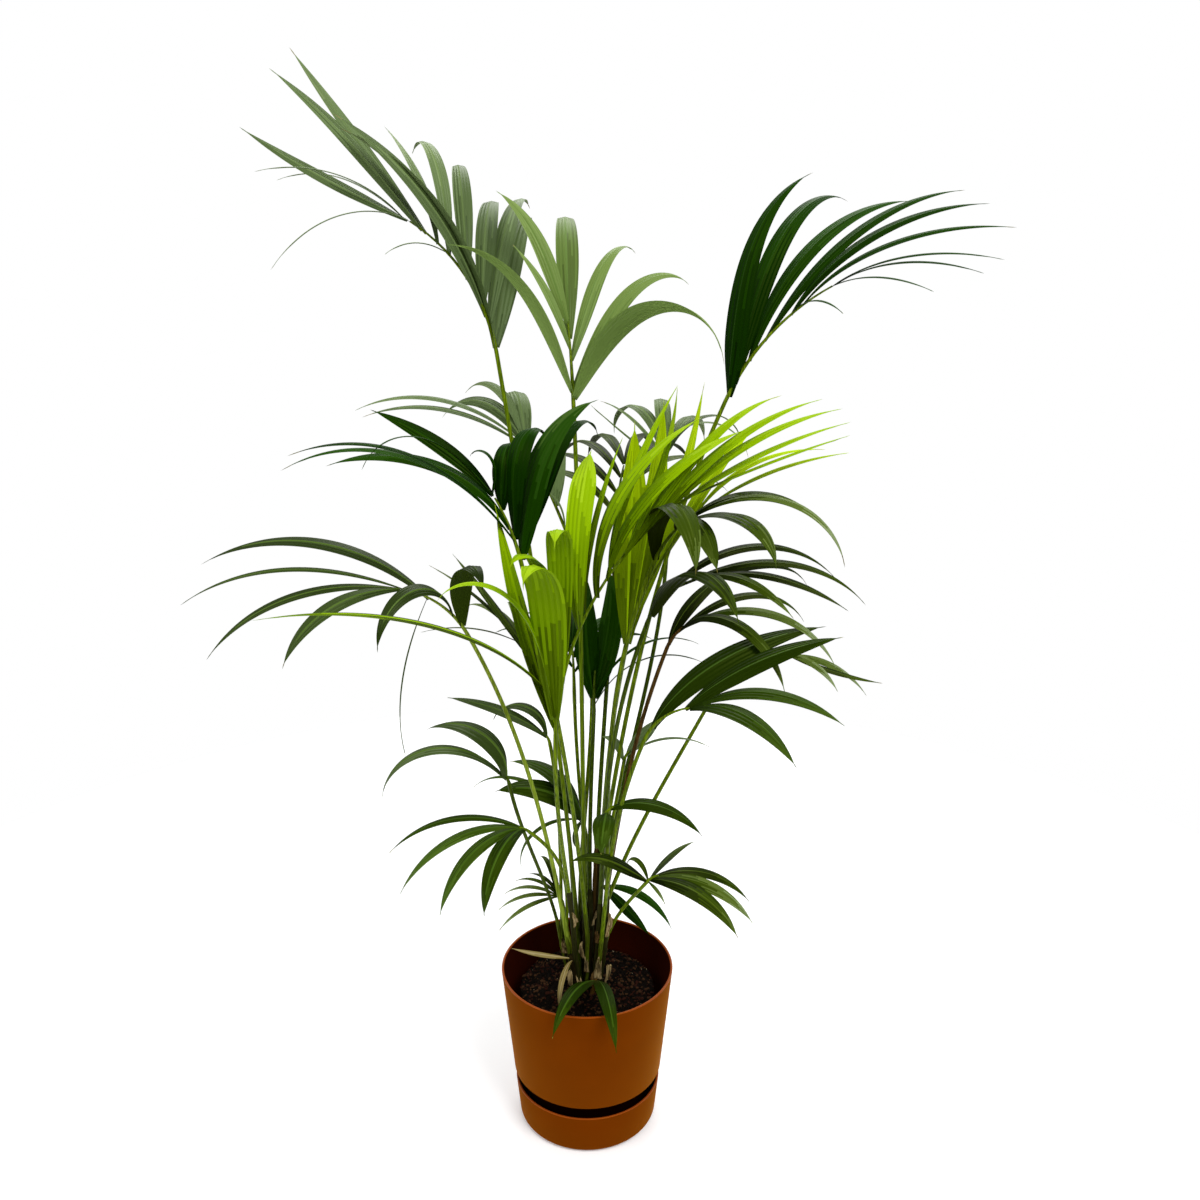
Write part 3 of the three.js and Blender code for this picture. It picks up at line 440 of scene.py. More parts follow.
# %% Fronds
Frond = namedtuple("Frond", "name cane foot bearing rise rachis arch tint fans")
FRONDS = [
    Frond("frond_top_left", 2, (-110, 60, 1080), 165, 81, 205, 54, "grey", [
        [1, [0.03, 172, 84, 330, 26, 62, 40, 1.1]],
        [1, [0.22, 178, 74, 300, 22, 44, -50, 1.1]],
        [2, [0.04, 80, 55, 290, 38, 85, 0, 2.6], [0.18, 80, 52, 300, 26, 85, 0, 2.6]],
        [3, [0.29, 90, 53, 285, 28, 112, 0, 2.4], [0.64, 114, 86, 228, 20, 125, 0, 1.7]],
        [1, [0.73, 140, 87, 170, 26, 54, 20, 0.8]],
        [2, [0.83, 160, 50, 282, 17, 0, -40, 1], [0.86, 175, 53, 255, 19, 17, -50, 1.5]],
        [1, [0.97, 185, 26, 220, 17, -8, -50, 2]],
        [2, [1, 200, 48, 190, 7, 63, 0, 1], [1, 150, 38, 218, 7, 54, 0, 1.1]],
        [2, [0.96, 215, 29, 200, 5, 82, 0, 0.8], [0.66, 225, 28, 98, 5, 61, 0, 1.2]]]),
    Frond("frond_top_middle", 3, (-15, 40, 1025), 100, 75, 105, 18, "mid", [
        [1, [0.02, -40, 60, 305, 34, 145, -30, 2]],
        [2, [0.14, 21, 61, 225, 24, 110, 40, 3.4], [0.47, 59, 60, 222, 21, 102, 10, 3.4]],
        [1, [0.74, 91, 62, 300, 30, 122, 0, 2.2]],
        [2, [0.91, 160, 72, 190, 21, 45, -50, 2.4], [0.6, 150, 70, 150, 11, 30, -40, 1.3]],
        [1, [0.09, 195, 70, 248, 21, 71, 40, 2.4]]]),
    Frond("frond_top_right", 4, (175, 60, 1020), 10, 66, 205, 41, "dark", [
        [1, [0.03, 14, 86, 300, 40, 66, 28, 2.9, 0.26]],
        [2, [0.12, 42, 71, 348, 29, 94, 20, 2.4], [0.28, 29, 71, 343, 23, 73, 25, 1.1]],
        [2, [0.43, 20, 57, 340, 17, 55, 30, 1.3], [0.65, 5, 60, 288, 16, 60, 35, 0.9]],
        [1, [0.73, -8, 58, 276, 12, 63, 30, 0.7]],
        [2, [0.95, -20, 41, 210, 7, 53, 22, 0.7], [0.98, -30, 38, 187, 7, 55, 22, 0.7]],
        [2, [0.95, -50, 28, 150, 5, 47, 22, 0.7], [0.66, -60, 53, 101, 5, 83, 22, 0.7]]]),
    Frond("frond_back_left", 2, (-25, 160, 815), 140, 62, 150, 11, "grey", [
        [2, [1, 190, 42, 250, 14, 68, -20, 1.3], [0.96, 200, 38, 240, 16, 58, -20, 1.3]],
        [2, [0.98, 150, 60, 172, 24, 116, -32, 1.3], [1, 130, 70, 178, 14, 115, -32, 1.3]],
        [1, [0.95, 105, 78, 168, 29, 145, 0, 1.3]],
        [1, [0.32, 80, 96, 136, 29, 90, 0, 2]],
        [1, [0.09, 170, 92, 66, 10, 66, 0, 1.3]]]),
    Frond("frond_middle_left", 3, (-75, -100, 860), 150, 74, 82, 21, "dark", [
        [1, [0.0, 12, 83, 220, 39, 70, 40, 2.4]],
        [1, [0.1, 52, 61, 239, 33, 148, 0, 4]],
        [1, [0.3, 55, 90, 172, 35, 186, 0, 4, 0.6]],
        [1, [0.75, 73, 88, 123, 29, 208, 0, 2.7]],
        [1, [1, 186, 101, 78, 23, 177, 0, 2.7]],
        [1, [0.99, 180, 58, 174, 21, 38, -50, 0.7]],
        [1, [0.46, 190, 67, 242, 20, 86, -35, 0.9]],
        [2, [0.31, 200, 56, 305, 13, 85, -20, 1.4], [0.28, 215, 54, 316, 12, 70, -20, 1.5]],
        [1, [0.99, 222, 48, 220, 6, 112, 0, 2.5]]]),
    Frond("frond_left", 1, (-150, -20, 740), 185, 63, 105, 51, "sage", [
        [1, [0.63, 165, 44, 340, 23, 76, -20, 0.9]],
        [2, [0.94, 180, 21, 292, 8, 57, -32, 1.3], [1, 195, 11, 265, 14, 66, -32, 1.3]],
        [1, [1, 215, 10, 190, 23, 79, -25, 1.3]],
        [1, [0.27, 232, 78, 185, 22, 168, -32, 1]],
        [1, [0.11, 300, 100, 150, 33, 190, 0, 2]],
        [1, [0.66, 230, -54, 211, 2, 50, -32, 1.3]]]),
    Frond("frond_young", 1, (-35, -140, 655), 20, 88, 330, 56, "lime", [
        [1, [0.09, 180, 92, 395, 17, 102, 0, 0.4]],
        [1, [0.03, 150, 70, 275, 32, -6, 0, 1]],
        [1, [0.07, 196, 80, 262, 38, 140, 0, 3, 0.5]],
        [1, [0.06, 250, 84, 266, 48, 200, 0, 6, 0.6]],
        [1, [0.2, 225, 82, 215, 38, 184, 0, 6, 0.62]],
        [1, [0.2, 265, 90, 246, 31, 202, 0, 6, 0.7]],
        [1, [0.4, 77, 108, 238, 32, 90, 0, 1.34, 0.72]],
        [1, [0.46, 50, 110, 216, 10, 56, 0, 0.46]],
        [1, [0.53, 13, 101, 262, 46, 80, 0, 0.87]],
        [1, [0.6, 5, 84, 250, 26, 66, 20, 0.8]],
        [2, [0.62, 43, 101, 244, 14, 56, 0, 0.4], [0.7, 25, 62, 207, 18, -24, 0, 1.8]],
        [2, [0.68, 8, 56, 273, 18, 45, 30, 3], [0.76, 0, 54, 276, 18, 41, 30, 1.7]],
        [3, [0.84, -5, 50, 262, 16, 39, 30, 1.4], [0.99, -20, 30, 212, 13, 10, 10, 1]]]),
    Frond("frond_young_right", 4, (50, -60, 735), 10, 79, 198, 34, "lemon", [
        [3, [0.03, 84, 60, 280, 44, -30, 0, 2], [0.2, 48, 56, 306, 28, -16, -20, 1]],
        [1, [0.61, 30, 56, 205, 18, 24, 20, 1.8]],
        [2, [0.91, -20, 48, 211, 11, 37, 20, 0.8], [0.91, 0, 62, 188, 11, 66, 20, 1]]]),
    Frond("frond_back_right", 6, (110, 170, 865), 60, 100, 67, 6, "grey", [
        [2, [1, 165, 51, 118, 17, 42, 0, 2], [0.8, 180, 37, 130, 16, -4, 0, 1]],
        [2, [1, 130, 68, 168, 24, 168, 0, 1.6], [1, 95, 72, 160, 23, 150, 0, 1.6]],
        [3, [1, 60, 42, 172, 20, 127, 0, 1.8], [1, -10, 80, 160, 12, 160, 0, 1]]]),
    Frond("frond_right_upper", 5, (83, -85, 855), 15, 66, 88, 45, "olive", [
        [1, [0.0, -72, 110, 218, 36, 208, 0, 1, 0.5]],
        [2, [0.5, -65, 110, 133, 30, 178, 0, 0.45, 0.5], [0.7, -52, 24, 172, 34, 112, 0, 2, 0.5]],
        [2, [0.68, -5, 42, 176, 16, 88, 32, 1.1], [0.82, -20, 32, 222, 11, 112, 32, 1.4]]]),
    Frond("frond_right", 5, (75, -90, 780), 10, 69, 97, 69, "olive", [
        [1, [0.08, -60, 58, 226, 38, 126, 0, 1.7, 0.45]],
        [1, [0.38, 15, 51, 254, 13, 100, 32, 1]],
        [2, [0.6, 0, 28, 246, 12, 79, 32, 1.3], [0.87, 25, 5, 173, 10, 68, 32, 3]],
        [2, [1, -15, 23, 174, 12, 57, 32, 0.7], [0.87, -35, 35, 136, 14, 81, 32, 0.7]]]),
    Frond("frond_right_middle", 5, (105, 20, 705), 20, 68, 49, 52, "olive", [
        [1, [0.1, 40, 72, 150, 20, 66, 20, 0.7]],
        [2, [0.49, 15, 39, 209, 13, 101, 32, 1.5], [0.65, -15, 37, 238, 14, 103, 32, 1.2]],
        [1, [0.61, -40, 57, 206, 18, 132, 32, 0.8]]]),
    Frond("frond_right_lower", 5, (74, -80, 622), -5, 68, 80, 64, "fresh", [
        [2, [0.22, 20, 66, 270, 33, 66, 35, 0.6], [0.83, 0, 44, 216, 29, 34, 35, 1]],
        [2, [0.92, -20, 38, 205, 25, 75, 15, 1], [0.92, -45, 30, 178, 30, 80, 10, 1]]]),
    Frond("frond_far_right", 6, (180, 90, 620), 25, 58, 128, 84, "olive", [
        [1, [0.1, 60, 8, 235, 19, 41, 0, 1.3]],
        [2, [1, 10, -9, 150, 14, 50, 32, 1.3], [1, 0, -23, 143, 10, -14, 32, 1.3]],
        [1, [0.86, -40, 9, 110, 11, 66, 32, 1.3]]]),
    Frond("frond_centre", 3, (10, 60, 600), 80, 100, 60, 38, "dark", [
        [2, [0.31, 60, 63, 184, 38, -50, 0, 2.4], [0.31, 118, 72, 170, 38, -30, 0, 1.5]],
        [2, [0.34, 10, 68, 184, 10, 100, 0, 1.3], [0.14, -15, 63, 193, 8, 89, 0, 1.4]]]),
    Frond("frond_small_left", 0, (-50, 40, 560), 170, 80, 20, 40, "sage", [
        [2, [0.5, 185, 48, 149, 18, 40, -32, 0.7], [0.5, 160, 100, 123, 26, 176, 0, 0.9]]]),
    Frond("frond_low_left", 0, (-100, -40, 540), 185, 80, 20, 40, "sage", [
        [2, [0.4, 160, 104, 160, 43, 142, 0, 0.8], [0.4, 190, 54, 215, 30, 141, 0, 1.3]]]),
    Frond("frond_lower_left", 0, (-73, -60, 480), 185, 48, 18, 40, "fresh", [
        [4, [0.34, 165, 22, 228, 11, 74, -32, 0.8], [0.5, 240, 32, 150, 27, 125, 0, 0.8]]]),
    Frond("frond_small_middle", 2, (-5, 60, 428), 170, 85, 20, 40, "fresh", [
        [2, [0.3, 160, 80, 154, 38, 104, 0, 1.1], [0.3, 190, 72, 146, 37, 88, -32, 0.8]],
        [3, [0.3, 150, 31, 206, 7, 80, -32, 1.6], [0.3, 240, 4, 60, 8, 160, 0, 1]]]),
    Frond("frond_small_right", 4, (26, -75, 516), 10, 61, 15, 40, "fresh", [
        [1, [0.5, 0, 30, 137, 20, 86, 32, 0.8]],
        [1, [0.1, -100, 30, 75, 28, 125, 0, 1]]]),
    Frond("frond_low_right", 5, (80, -60, 407), -10, 56, 20, 40, "olive", [
        [1, [0.1, 190, 38, 118, 20, 72, -32, 2.6]],
        [3, [0.3, 10, 26, 162, 15, 84, 32, 0.8], [0.3, -40, 18, 153, 22, 75, 32, 1.3]],
        [1, [0.2, 60, 8, 150, 11, 30, 0, 1.1]],
        [2, [0.1, 130, 72, 65, 7, 166, -32, 1.3], [0.1, -60, 1, 45, 6, 43, 0, 1.3]]]),
    Frond("frond_low_back", 6, (18, 60, 324), 0, 40, 12, 30, "dark", [
        [2, [0.5, 0, 8, 132, 14, 79, 32, 0.8], [0.5, -30, -30, 95, 16, 10, 32, 1]]]),
    Frond("frond_low_small", 0, (-35, 30, 320), 180, 80, 12, 40, "olive", [
        [1, [0.9, 120, 70, 80, 11, 118, 0, 2]],
        [5, [0.9, 150, 64, 62, 6, 95, -20, 1.2], [0.9, 215, 10, 104, 7, 55, -30, 1.5]]]),
    Frond("frond_inner_right", 6, (51, 40, 535), 20, 80, 15, 40, "grey", [
        [2, [0.6, 30, 46, 72, 20, 20, 30, 1], [0.3, 0, 48, 128, 9, 82, 0, 1]],
        [1, [0.1, 160, 80, 52, 23, 110, 0, 1.6]]]),
    Frond("frond_back_low", 6, (-18, 110, 608), 95, 80, 70, 50, "dark", [
        [3, [0.4, 30, 50, 150, 22, 90, 0, 1.2], [1, 85, 38, 170, 24, 90, 0, 1.2]],
        [3, [0.5, 150, 52, 150, 22, 90, 0, 1.2], [1, 105, 40, 170, 22, 90, 0, 1.2]]]),
    Frond("frond_back_high", 4, (40, 150, 830), 80, 78, 110, 60, "olive", [
        [4, [0.2, 15, 50, 190, 26, 100, 0, 1.3], [1, 75, 30, 220, 20, 85, 0, 1.2]],
        [4, [0.2, 150, 50, 190, 26, 100, 0, 1.3], [1, 105, 30, 220, 20, 85, 0, 1.2]]]),
    Frond("frond_behind_left", 2, (-59, 75, 634), 150, 72, 55, 20, "olive", [
        [2, [0.5, 168, 58, 190, 26, 10, 0, 1], [1, 172, 50, 175, 12, 25, 0, 1.3]],
        [1, [1, 182, 34, 150, 6, 50, 0, 1]],
        [2, [0.7, 110, 50, 150, 24, 80, 0, 1.3], [1, 135, 42, 160, 18, 80, 0, 1.3]]]),
]
# Stalks that bow aside at their middle, by [x, y], so as not to run through a neighbour
BOWS = {"frond_right": (0, -5), "frond_right_lower": (0, -5), "frond_centre": (-5, -5),
        "frond_lower_left": (7.5, 7.5), "frond_small_middle": (5, 5), "frond_low_right": (0, 5),
        "frond_back_low": (0, 10)}
print("fronds", len(FRONDS), "leaflets", sum(fan[0] for f in FRONDS for fan in f.fans))

# %% [markdown]
# A drooping line is the one curve behind rachises and leaflets. It sets off at its rise and sinks
# by its droop on the way to the tip. A Bezier would need handles set by eye; short steps, each in
# the direction of its place, give the right arc from the named angles alone.

# %% Lines
STATIONS = 44                   # steps along a leaflet


def heading(bearing, rise):
    """Unit directions for bearings and rises in degrees, as rows of x, y, z."""
    b, e = np.radians(bearing), np.radians(rise)
    parts = np.cos(e) * np.cos(b), np.cos(e) * np.sin(b), np.sin(e)
    return np.stack(np.broadcast_arrays(*parts), -1)


def drooping(start, bearing, rise, length, droop, bend, stations=STATIONS):
    """Points along a drooping line, and how it rises at each, in degrees."""
    middles = (np.arange(stations) + 0.5) / stations
    steps = heading(bearing, rise - droop * middles ** bend) * length / stations
    points = np.array(start, float) + np.vstack([np.zeros(3), np.cumsum(steps, axis=0)])
    return points, rise - droop * np.linspace(0, 1, stations + 1) ** bend


def point_on(line, share):
    """The point at a share of a line's length."""
    places = np.linspace(0, 1, len(line))
    return np.array([np.interp(share, places, line[:, axis]) for axis in range(3)])


def rachis_of(frond):
    """The line of a frond's rachis."""
    return drooping(frond.foot, frond.bearing, frond.rise, frond.rachis, frond.arch, 1)[0]

# %% Where the stalks stand
UPRIGHT = 0.45                  # how straight up a stalk leaves its cane
STALK_STATIONS = 30             # steps along a stalk


def cane_top(number):
    """Middle of a cane's top."""
    _, (x, y), height, _ = CANES[number]
    return np.array([x, y, SOIL_LEVEL + CLEAR + height])


def stalk_feet():
    """Each frond's foot: a ring on its cane's top, each on the side that it leans to."""
    feet = {}
    for number in range(len(CANES)):
        top = cane_top(number)
        lean = lambda f: math.atan2(f.foot[1] - top[1], f.foot[0] - top[0])
        own = sorted((f for f in FRONDS if f.cane == number), key=lean)
        share = 2 * math.pi / len(own)
        offset = sum(lean(f) - i * share for i, f in enumerate(own)) / len(own)
        ring = STALK_RING if len(own) > 1 else 0
        for i, frond in enumerate(own):
            angle = offset + i * share
            feet[frond.name] = top + [ring * math.cos(angle), ring * math.sin(angle), CLEAR]
    return feet


def stalk_line(start, end, direction, bow=(0, 0)):
    """A stalk's middle line, from its cane to its blade, as a Bezier curve."""
    reach = np.linalg.norm(end - start)
    leaving = (end - start) / reach * (1 - UPRIGHT) + np.array([0, 0, UPRIGHT])
    leaving /= np.linalg.norm(leaving)
    aside = np.array([*bow, 0]) * 4 / 3     # the middle moves 3/4 as far as both handles do
    handles = [start, start + leaving * reach / 3 + aside, end - direction * reach / 3 + aside, end]
    t = np.linspace(0, 1, STALK_STATIONS + 1)[:, None]
    weights = [(1 - t) ** 3, 3 * t * (1 - t) ** 2, 3 * t ** 2 * (1 - t), t ** 3]
    return sum(w * handle for w, handle in zip(weights, handles))


feet = stalk_feet()
print("stalks", len(feet))

# %% [markdown]
# ## Stalks
#
# A stalk is smooth, waxy and green, and a little flattened. It runs on as the rachis and thins to
# the blade's tip. A curve with a bevel would make the tube, but not the flattening, so a ring is
# extruded from station to station, each turned to the line and given its own width.

# %% Tubes
def sweep(bm, line, radii, sides=12, flat=0.86, material=0):
    """Extrudes a ring along a line in millimetres and closes both ends."""
    along = np.gradient(line, axis=0)
    frame_at = []
    side = Vector((1, 0, 0))
    for centre, direction, radius in zip(line, along, radii):
        ahead = Vector(direction).normalized()
        side = (side - ahead * side.dot(ahead)).normalized()
        up = ahead.cross(side)
        axes = Matrix((side * radius, up * radius * flat, ahead)).transposed()
        frame_at.append(Matrix.Translation(Vector(centre) * MM) @ (axes * MM).to_4x4())
    before = set(bm.faces)
    ring = bmesh.ops.create_circle(bm, segments=sides, radius=1, matrix=frame_at[0])["verts"]
    ring_edges = [e for e in bm.edges if e.verts[0] in ring and e.verts[1] in ring]
    bm.faces.new(ring[::-1])
    for last, now in zip(frame_at, frame_at[1:]):
        grown = bmesh.ops.extrude_edge_only(bm, edges=ring_edges)["geom"]
        ring = [g for g in grown if isinstance(g, bmesh.types.BMVert)]
        own = set(ring)
        ring_edges = [g for g in grown if isinstance(g, bmesh.types.BMEdge)
                      and g.verts[0] in own and g.verts[1] in own]
        bmesh.ops.transform(bm, matrix=now @ last.inverted(), verts=ring)
    bmesh.ops.contextual_create(bm, geom=ring_edges)
    made = [f for f in bm.faces if f not in before]
    bmesh.ops.recalc_face_normals(bm, faces=made)
    for face in made:
        face.material_index = material

# %% Waxy stalk finish
STREAK_WIDTH, STREAK_LENGTH = 1.5, 40   # mm
STREAK_GLOSS, STREAK_SHEEN = 0.18, (1, 1, 0.3, 1)


def streaked(name, dark, pale, roughness, share=(0.35, 0.7), depth=0.3):
    """A plant's skin with fine streaks that run up it, as Object noise stretched upright."""
    material, shader = new_material(name, dark, roughness, Specular_IOR_Level=STREAK_GLOSS,
                                    Specular_Tint=STREAK_SHEEN)
    tree = material.node_tree
    place = add_node(tree, "ShaderNodeTexCoord").outputs["Object"]
    squeeze = (1 / (STREAK_WIDTH * MM), 1 / (STREAK_WIDTH * MM), 1 / (STREAK_LENGTH * MM))
    upright = add_node(tree, "ShaderNodeMapping", {"Vector": place, "Scale": squeeze})
    streaks = add_node(tree, "ShaderNodeTexNoise", {"Vector": upright.outputs[0], "Scale": 1.0,
                                                    "Detail": 3.0})
    ramp = add_node(tree, "ShaderNodeValToRGB", {"Fac": streaks.outputs["Fac"]})
    for stop, position, colour in zip(ramp.color_ramp.elements, share, (dark, pale)):
        stop.position, stop.color = position, linear(colour)
    tree.links.new(ramp.outputs["Color"], shader.inputs["Base Color"])
    relief = add_node(tree, "ShaderNodeBump", {"Height": streaks.outputs["Fac"], "Strength": 0.4,
                                               "Distance": depth * MM})
    tree.links.new(relief.outputs["Normal"], shader.inputs["Normal"])
    return material


green_stalk = streaked("waxy stalk, green", "#384c04", "#76900a", 0.42)
# The same green stalk, darker as painted shade for stalks deep in the clump, and paler as painted
# light for frond_left's
painted_shade_stalk = streaked("waxy stalk, deep green", "#1f2e02", "#48600a", 0.42)
brown_stalk = streaked("ageing stalk, red brown", "#2a1604", "#62441a", 0.55)
painted_light_stalk = streaked("waxy stalk, pale green", "#64781a", "#a0b83c", 0.42)

# %% Stalks and rachises
STALK_RADIUS, THIN_STALK = 3.1, 2.3
RACHIS_RADIUS, RACHIS_TIP = 2.6, 1.1
RACHIS_STRIDE = 3               # a rachis is stiff enough for every third station
# stalks with a finish of their own: one real red brown, one in painted light, the rest in painted
# shade
OWN_STALKS = {"frond_right_middle": brown_stalk, "frond_left": painted_light_stalk,
              "frond_low_left": painted_shade_stalk, "frond_right": painted_shade_stalk,
              "frond_back_right": painted_shade_stalk, "frond_centre": painted_shade_stalk,
              "frond_back_high": painted_shade_stalk}

stems = {}
for frond in FRONDS:
    name = frond.name
    start = feet[name]
    up = heading(frond.bearing, frond.rise)
    stem = stalk_line(start, np.array(frond.foot, float), up, BOWS.get(name, (0, 0)))
    stems[name] = stem
    rachis = rachis_of(frond)[::RACHIS_STRIDE]
    line = np.vstack([stem, rachis[1:]])
    own_node = name + "_stalk" in slots
    foot_radius = STALK_RADIUS if own_node else THIN_STALK
    stem_radii = np.linspace(foot_radius, RACHIS_RADIUS, len(stem))
    rachis_radii = np.linspace(RACHIS_RADIUS, RACHIS_TIP, len(rachis))[1:]
    stalk_bm = bmesh.new()
    sweep(stalk_bm, line, np.concatenate([stem_radii, rachis_radii]))
    node = name + "_stalk" if own_node else name
    skin = OWN_STALKS.get(name, green_stalk)
    add_piece(name + "_waxy_stalk", stalk_bm, [skin], [node])

# %% [markdown]
# ## Canes
#
# A cane is the short stem of one plant in the clump, and what shows of it is a bundle of leaf
# sheaths: each stalk goes on down to the mix in a sheath of its own, green where it is young and
# brown and fibrous where it dries. A cane could be one lathed stem, but would look like a peg. So
# every sheath is swept down from its stalk, wide enough to hold it, round a core that is near
# black as painted shade between the sheaths.

# %% Sheaths and cores
SHEATH_FOOT, SHEATH_TOP, LONG_SHEATH_TOP = 2.8, 3.3, 3.9        # radii
SHEATH_RUN = 5                  # the station of its stalk that a sheath ends before
# How far up its stalk a long sheath in painted shade goes, in mm
LONG_SHEATHS = {"frond_young": 136, "frond_right_upper": 116, "frond_right": 100,
                "frond_centre": 70, "frond_top_middle": 50}
SHEATH_STATIONS, SHEATH_WAVER = 12, 0.8 # and how far from straight it strays at one, in mm
SHEATH_FLAT = 0.92              # its thickness over its width
CORE_SHARE = 0.75               # core radius over the bundle's
CORE_SINK = 0.08                # how deep a cane goes into the mix, over its height
cane_skins = [
    streaked("leaf sheath, green brown", "#242e04", "#5a6a10", 0.6, (0.3, 0.65), 0.5),
    streaked("leaf sheath, yellow green", "#3e4806", "#7c8418", 0.6, (0.3, 0.65), 0.5),
    streaked("leaf sheath, brown fibre", "#1c1004", "#4c3412", 0.75, (0.3, 0.65), 0.8),
    # near black, as painted shade between the sheaths
    streaked("cane core, dark brown", "#0c0602", "#241808", 0.8, (0.3, 0.7), 0.6),
    # black green, as painted shade
    streaked("leaf sheath, black green", "#0c1002", "#2c2c0e", 0.7, (0.3, 0.7), 0.6),
]
GREEN_BROWN, YELLOW_GREEN, FIBRE, SHADED_CORE, SHADED_SHEATH = range(5)
GREEN_CANES = (0, 1, 3, 5)      # those of the younger plants, in front
GREEN_SHEATHS = [GREEN_BROWN, YELLOW_GREEN, GREEN_BROWN]
# the back canes' sheaths are dealt from these, the core's painted shade among them
BROWN_SHEATHS = [FIBRE, GREEN_BROWN, SHADED_CORE]
chance = random.Random("sheaths")


def cane_foot(number):
    """Where a cane comes out of the mix."""
    _, (x, y), _, _ = CANES[number]
    return np.array([x * CANE_SPREAD, y * CANE_SPREAD, SOIL_LEVEL])


for number, (name, _, height, radius) in enumerate(CANES):
    foot, top = cane_foot(number), cane_top(number)
    levels = np.linspace(-CORE_SINK, 1, SHEATH_STATIONS)[:, None]
    cane_bm = bmesh.new()
    core = foot + (top - foot) * levels
    core_radii = radius * CORE_SHARE * np.linspace(CANE_FOOT, 1, SHEATH_STATIONS)
    sweep(cane_bm, core, core_radii, flat=1, material=SHADED_CORE)
    for frond in FRONDS:
        if frond.cane != number:
            continue
        out = feet[frond.name] - top
        line = core + out * (CANE_FOOT + (1 - CANE_FOOT) * levels)
        line[1:-1, :2] += [[chance.uniform(-SHEATH_WAVER, SHEATH_WAVER) for _ in range(2)]
                           for _ in range(SHEATH_STATIONS - 2)]
        stem = stems[frond.name]
        skin = chance.choice(GREEN_SHEATHS if number in GREEN_CANES else BROWN_SHEATHS)
        if frond.name in LONG_SHEATHS:
            run = stem[1:][stem[1:, 2] < stem[0, 2] + LONG_SHEATHS[frond.name]]
            swelling = np.linspace(SHEATH_TOP, LONG_SHEATH_TOP, len(run) + 1)[1:-1]
            ends = np.append(swelling, THIN_STALK)
            # a long sheath is dark as painted shade
            skin = SHADED_SHEATH
        else:
            run = stem[1:SHEATH_RUN]
            ends = np.linspace(SHEATH_TOP, THIN_STALK, len(run) + 1)[1:]
        whole = np.vstack([line, run])
        radii = np.concatenate([np.linspace(SHEATH_FOOT, SHEATH_TOP, SHEATH_STATIONS), ends])
        sweep(cane_bm, whole, radii, flat=SHEATH_FLAT, material=skin)
    add_piece(name + "_sheaths", cane_bm, cane_skins, [name])

# %% [markdown]
# As a sheath dies it splits down one side and dries to a papery husk, which stands off the canes
# and stalks, curls out and ends in a torn edge. Cloth could be simulated, but a stiff husk has
# no folds that need it. A flat grid is bent round instead, each of its strips torn off at a height
# of its own, and is then given the thickness of a dry sheath.

# %% Husk sizes and finishes
TAN, BROWN = 0, 1
# What a husk wraps, which is a cane by number or a stalk by its frond's name, its facing and width
# in degrees, foot, height and stand-off in millimetres, and its finish
HUSKS = [
    (0, 250, 50, 0, 30, 1.2, BROWN), (0, 265, 46, 58, 22, 2.8, TAN), (1, 200, 60, 0, 36, 1.0, TAN),
    (1, 300, 50, 2, 26, 2.2, TAN), (2, 120, 90, 0, 50, 1.4, BROWN), (3, 262, 36, 30, 30, 3.4, TAN),
    (3, 225, 40, 52, 26, 3.2, TAN), (4, 250, 60, 18, 40, 2.2, BROWN), (5, 340, 70, 8, 40, 5.0, TAN),
    (5, 262, 70, 26, 44, 3.4, TAN), (5, 225, 40, 10, 30, 2.4, BROWN), (6, 60, 100, 0, 40, 1.4, TAN),
    ("frond_right_upper", 320, 130, 96, 40, 0.8, TAN), ("frond_young", 320, 80, 122, 26, 0.8, TAN),
    ("frond_centre", 350, 140, 100, 22, 0.8, TAN), ("frond_right", 250, 120, 84, 24, 0.6, BROWN),
]
HUSK_STRIPS, HUSK_STEPS, HUSK_THICKNESS = 10, 10, 0.6
SHORTEST_STRIP = 0.3            # height of the deepest tear over the husk's height
HUSK_CURL, HUSK_TAPER = 4, 0.6  # mm that the top leans out, and share that it narrows
RIPPLE_HEIGHT, RIPPLES = 0.06, 12       # over the radius that it wraps; radians across
HUSK_SINK = 3                   # mm that its foot is sunk in the mix
husk_skins = [
    streaked("dried sheath, tan", "#5c4824", "#b8a274", 0.85, (0.35, 0.65), 0.8),
    streaked("dried sheath, brown", "#33230f", "#6a4e2b", 0.85, (0.3, 0.7), 0.8),
]
print("husks", len(HUSKS))

# %% Husks
chance = random.Random("husks")


def husk_core(wrapped, level):
    """Middle and radius, at a height over the mix, of the cane or the stalk that a husk wraps."""
    if wrapped in stems:
        line = stems[wrapped]
        middle = [np.interp(SOIL_LEVEL + level, line[:, 2], line[:, axis]) for axis in range(3)]
        return np.array(middle), LONG_SHEATH_TOP
    _, _, cane_height, radius = CANES[wrapped]
    share = min(level / cane_height, 1)
    middle = cane_foot(wrapped) + (cane_top(wrapped) - cane_foot(wrapped)) * share
    return middle, radius * (CANE_FOOT + (1 - CANE_FOOT) * share)


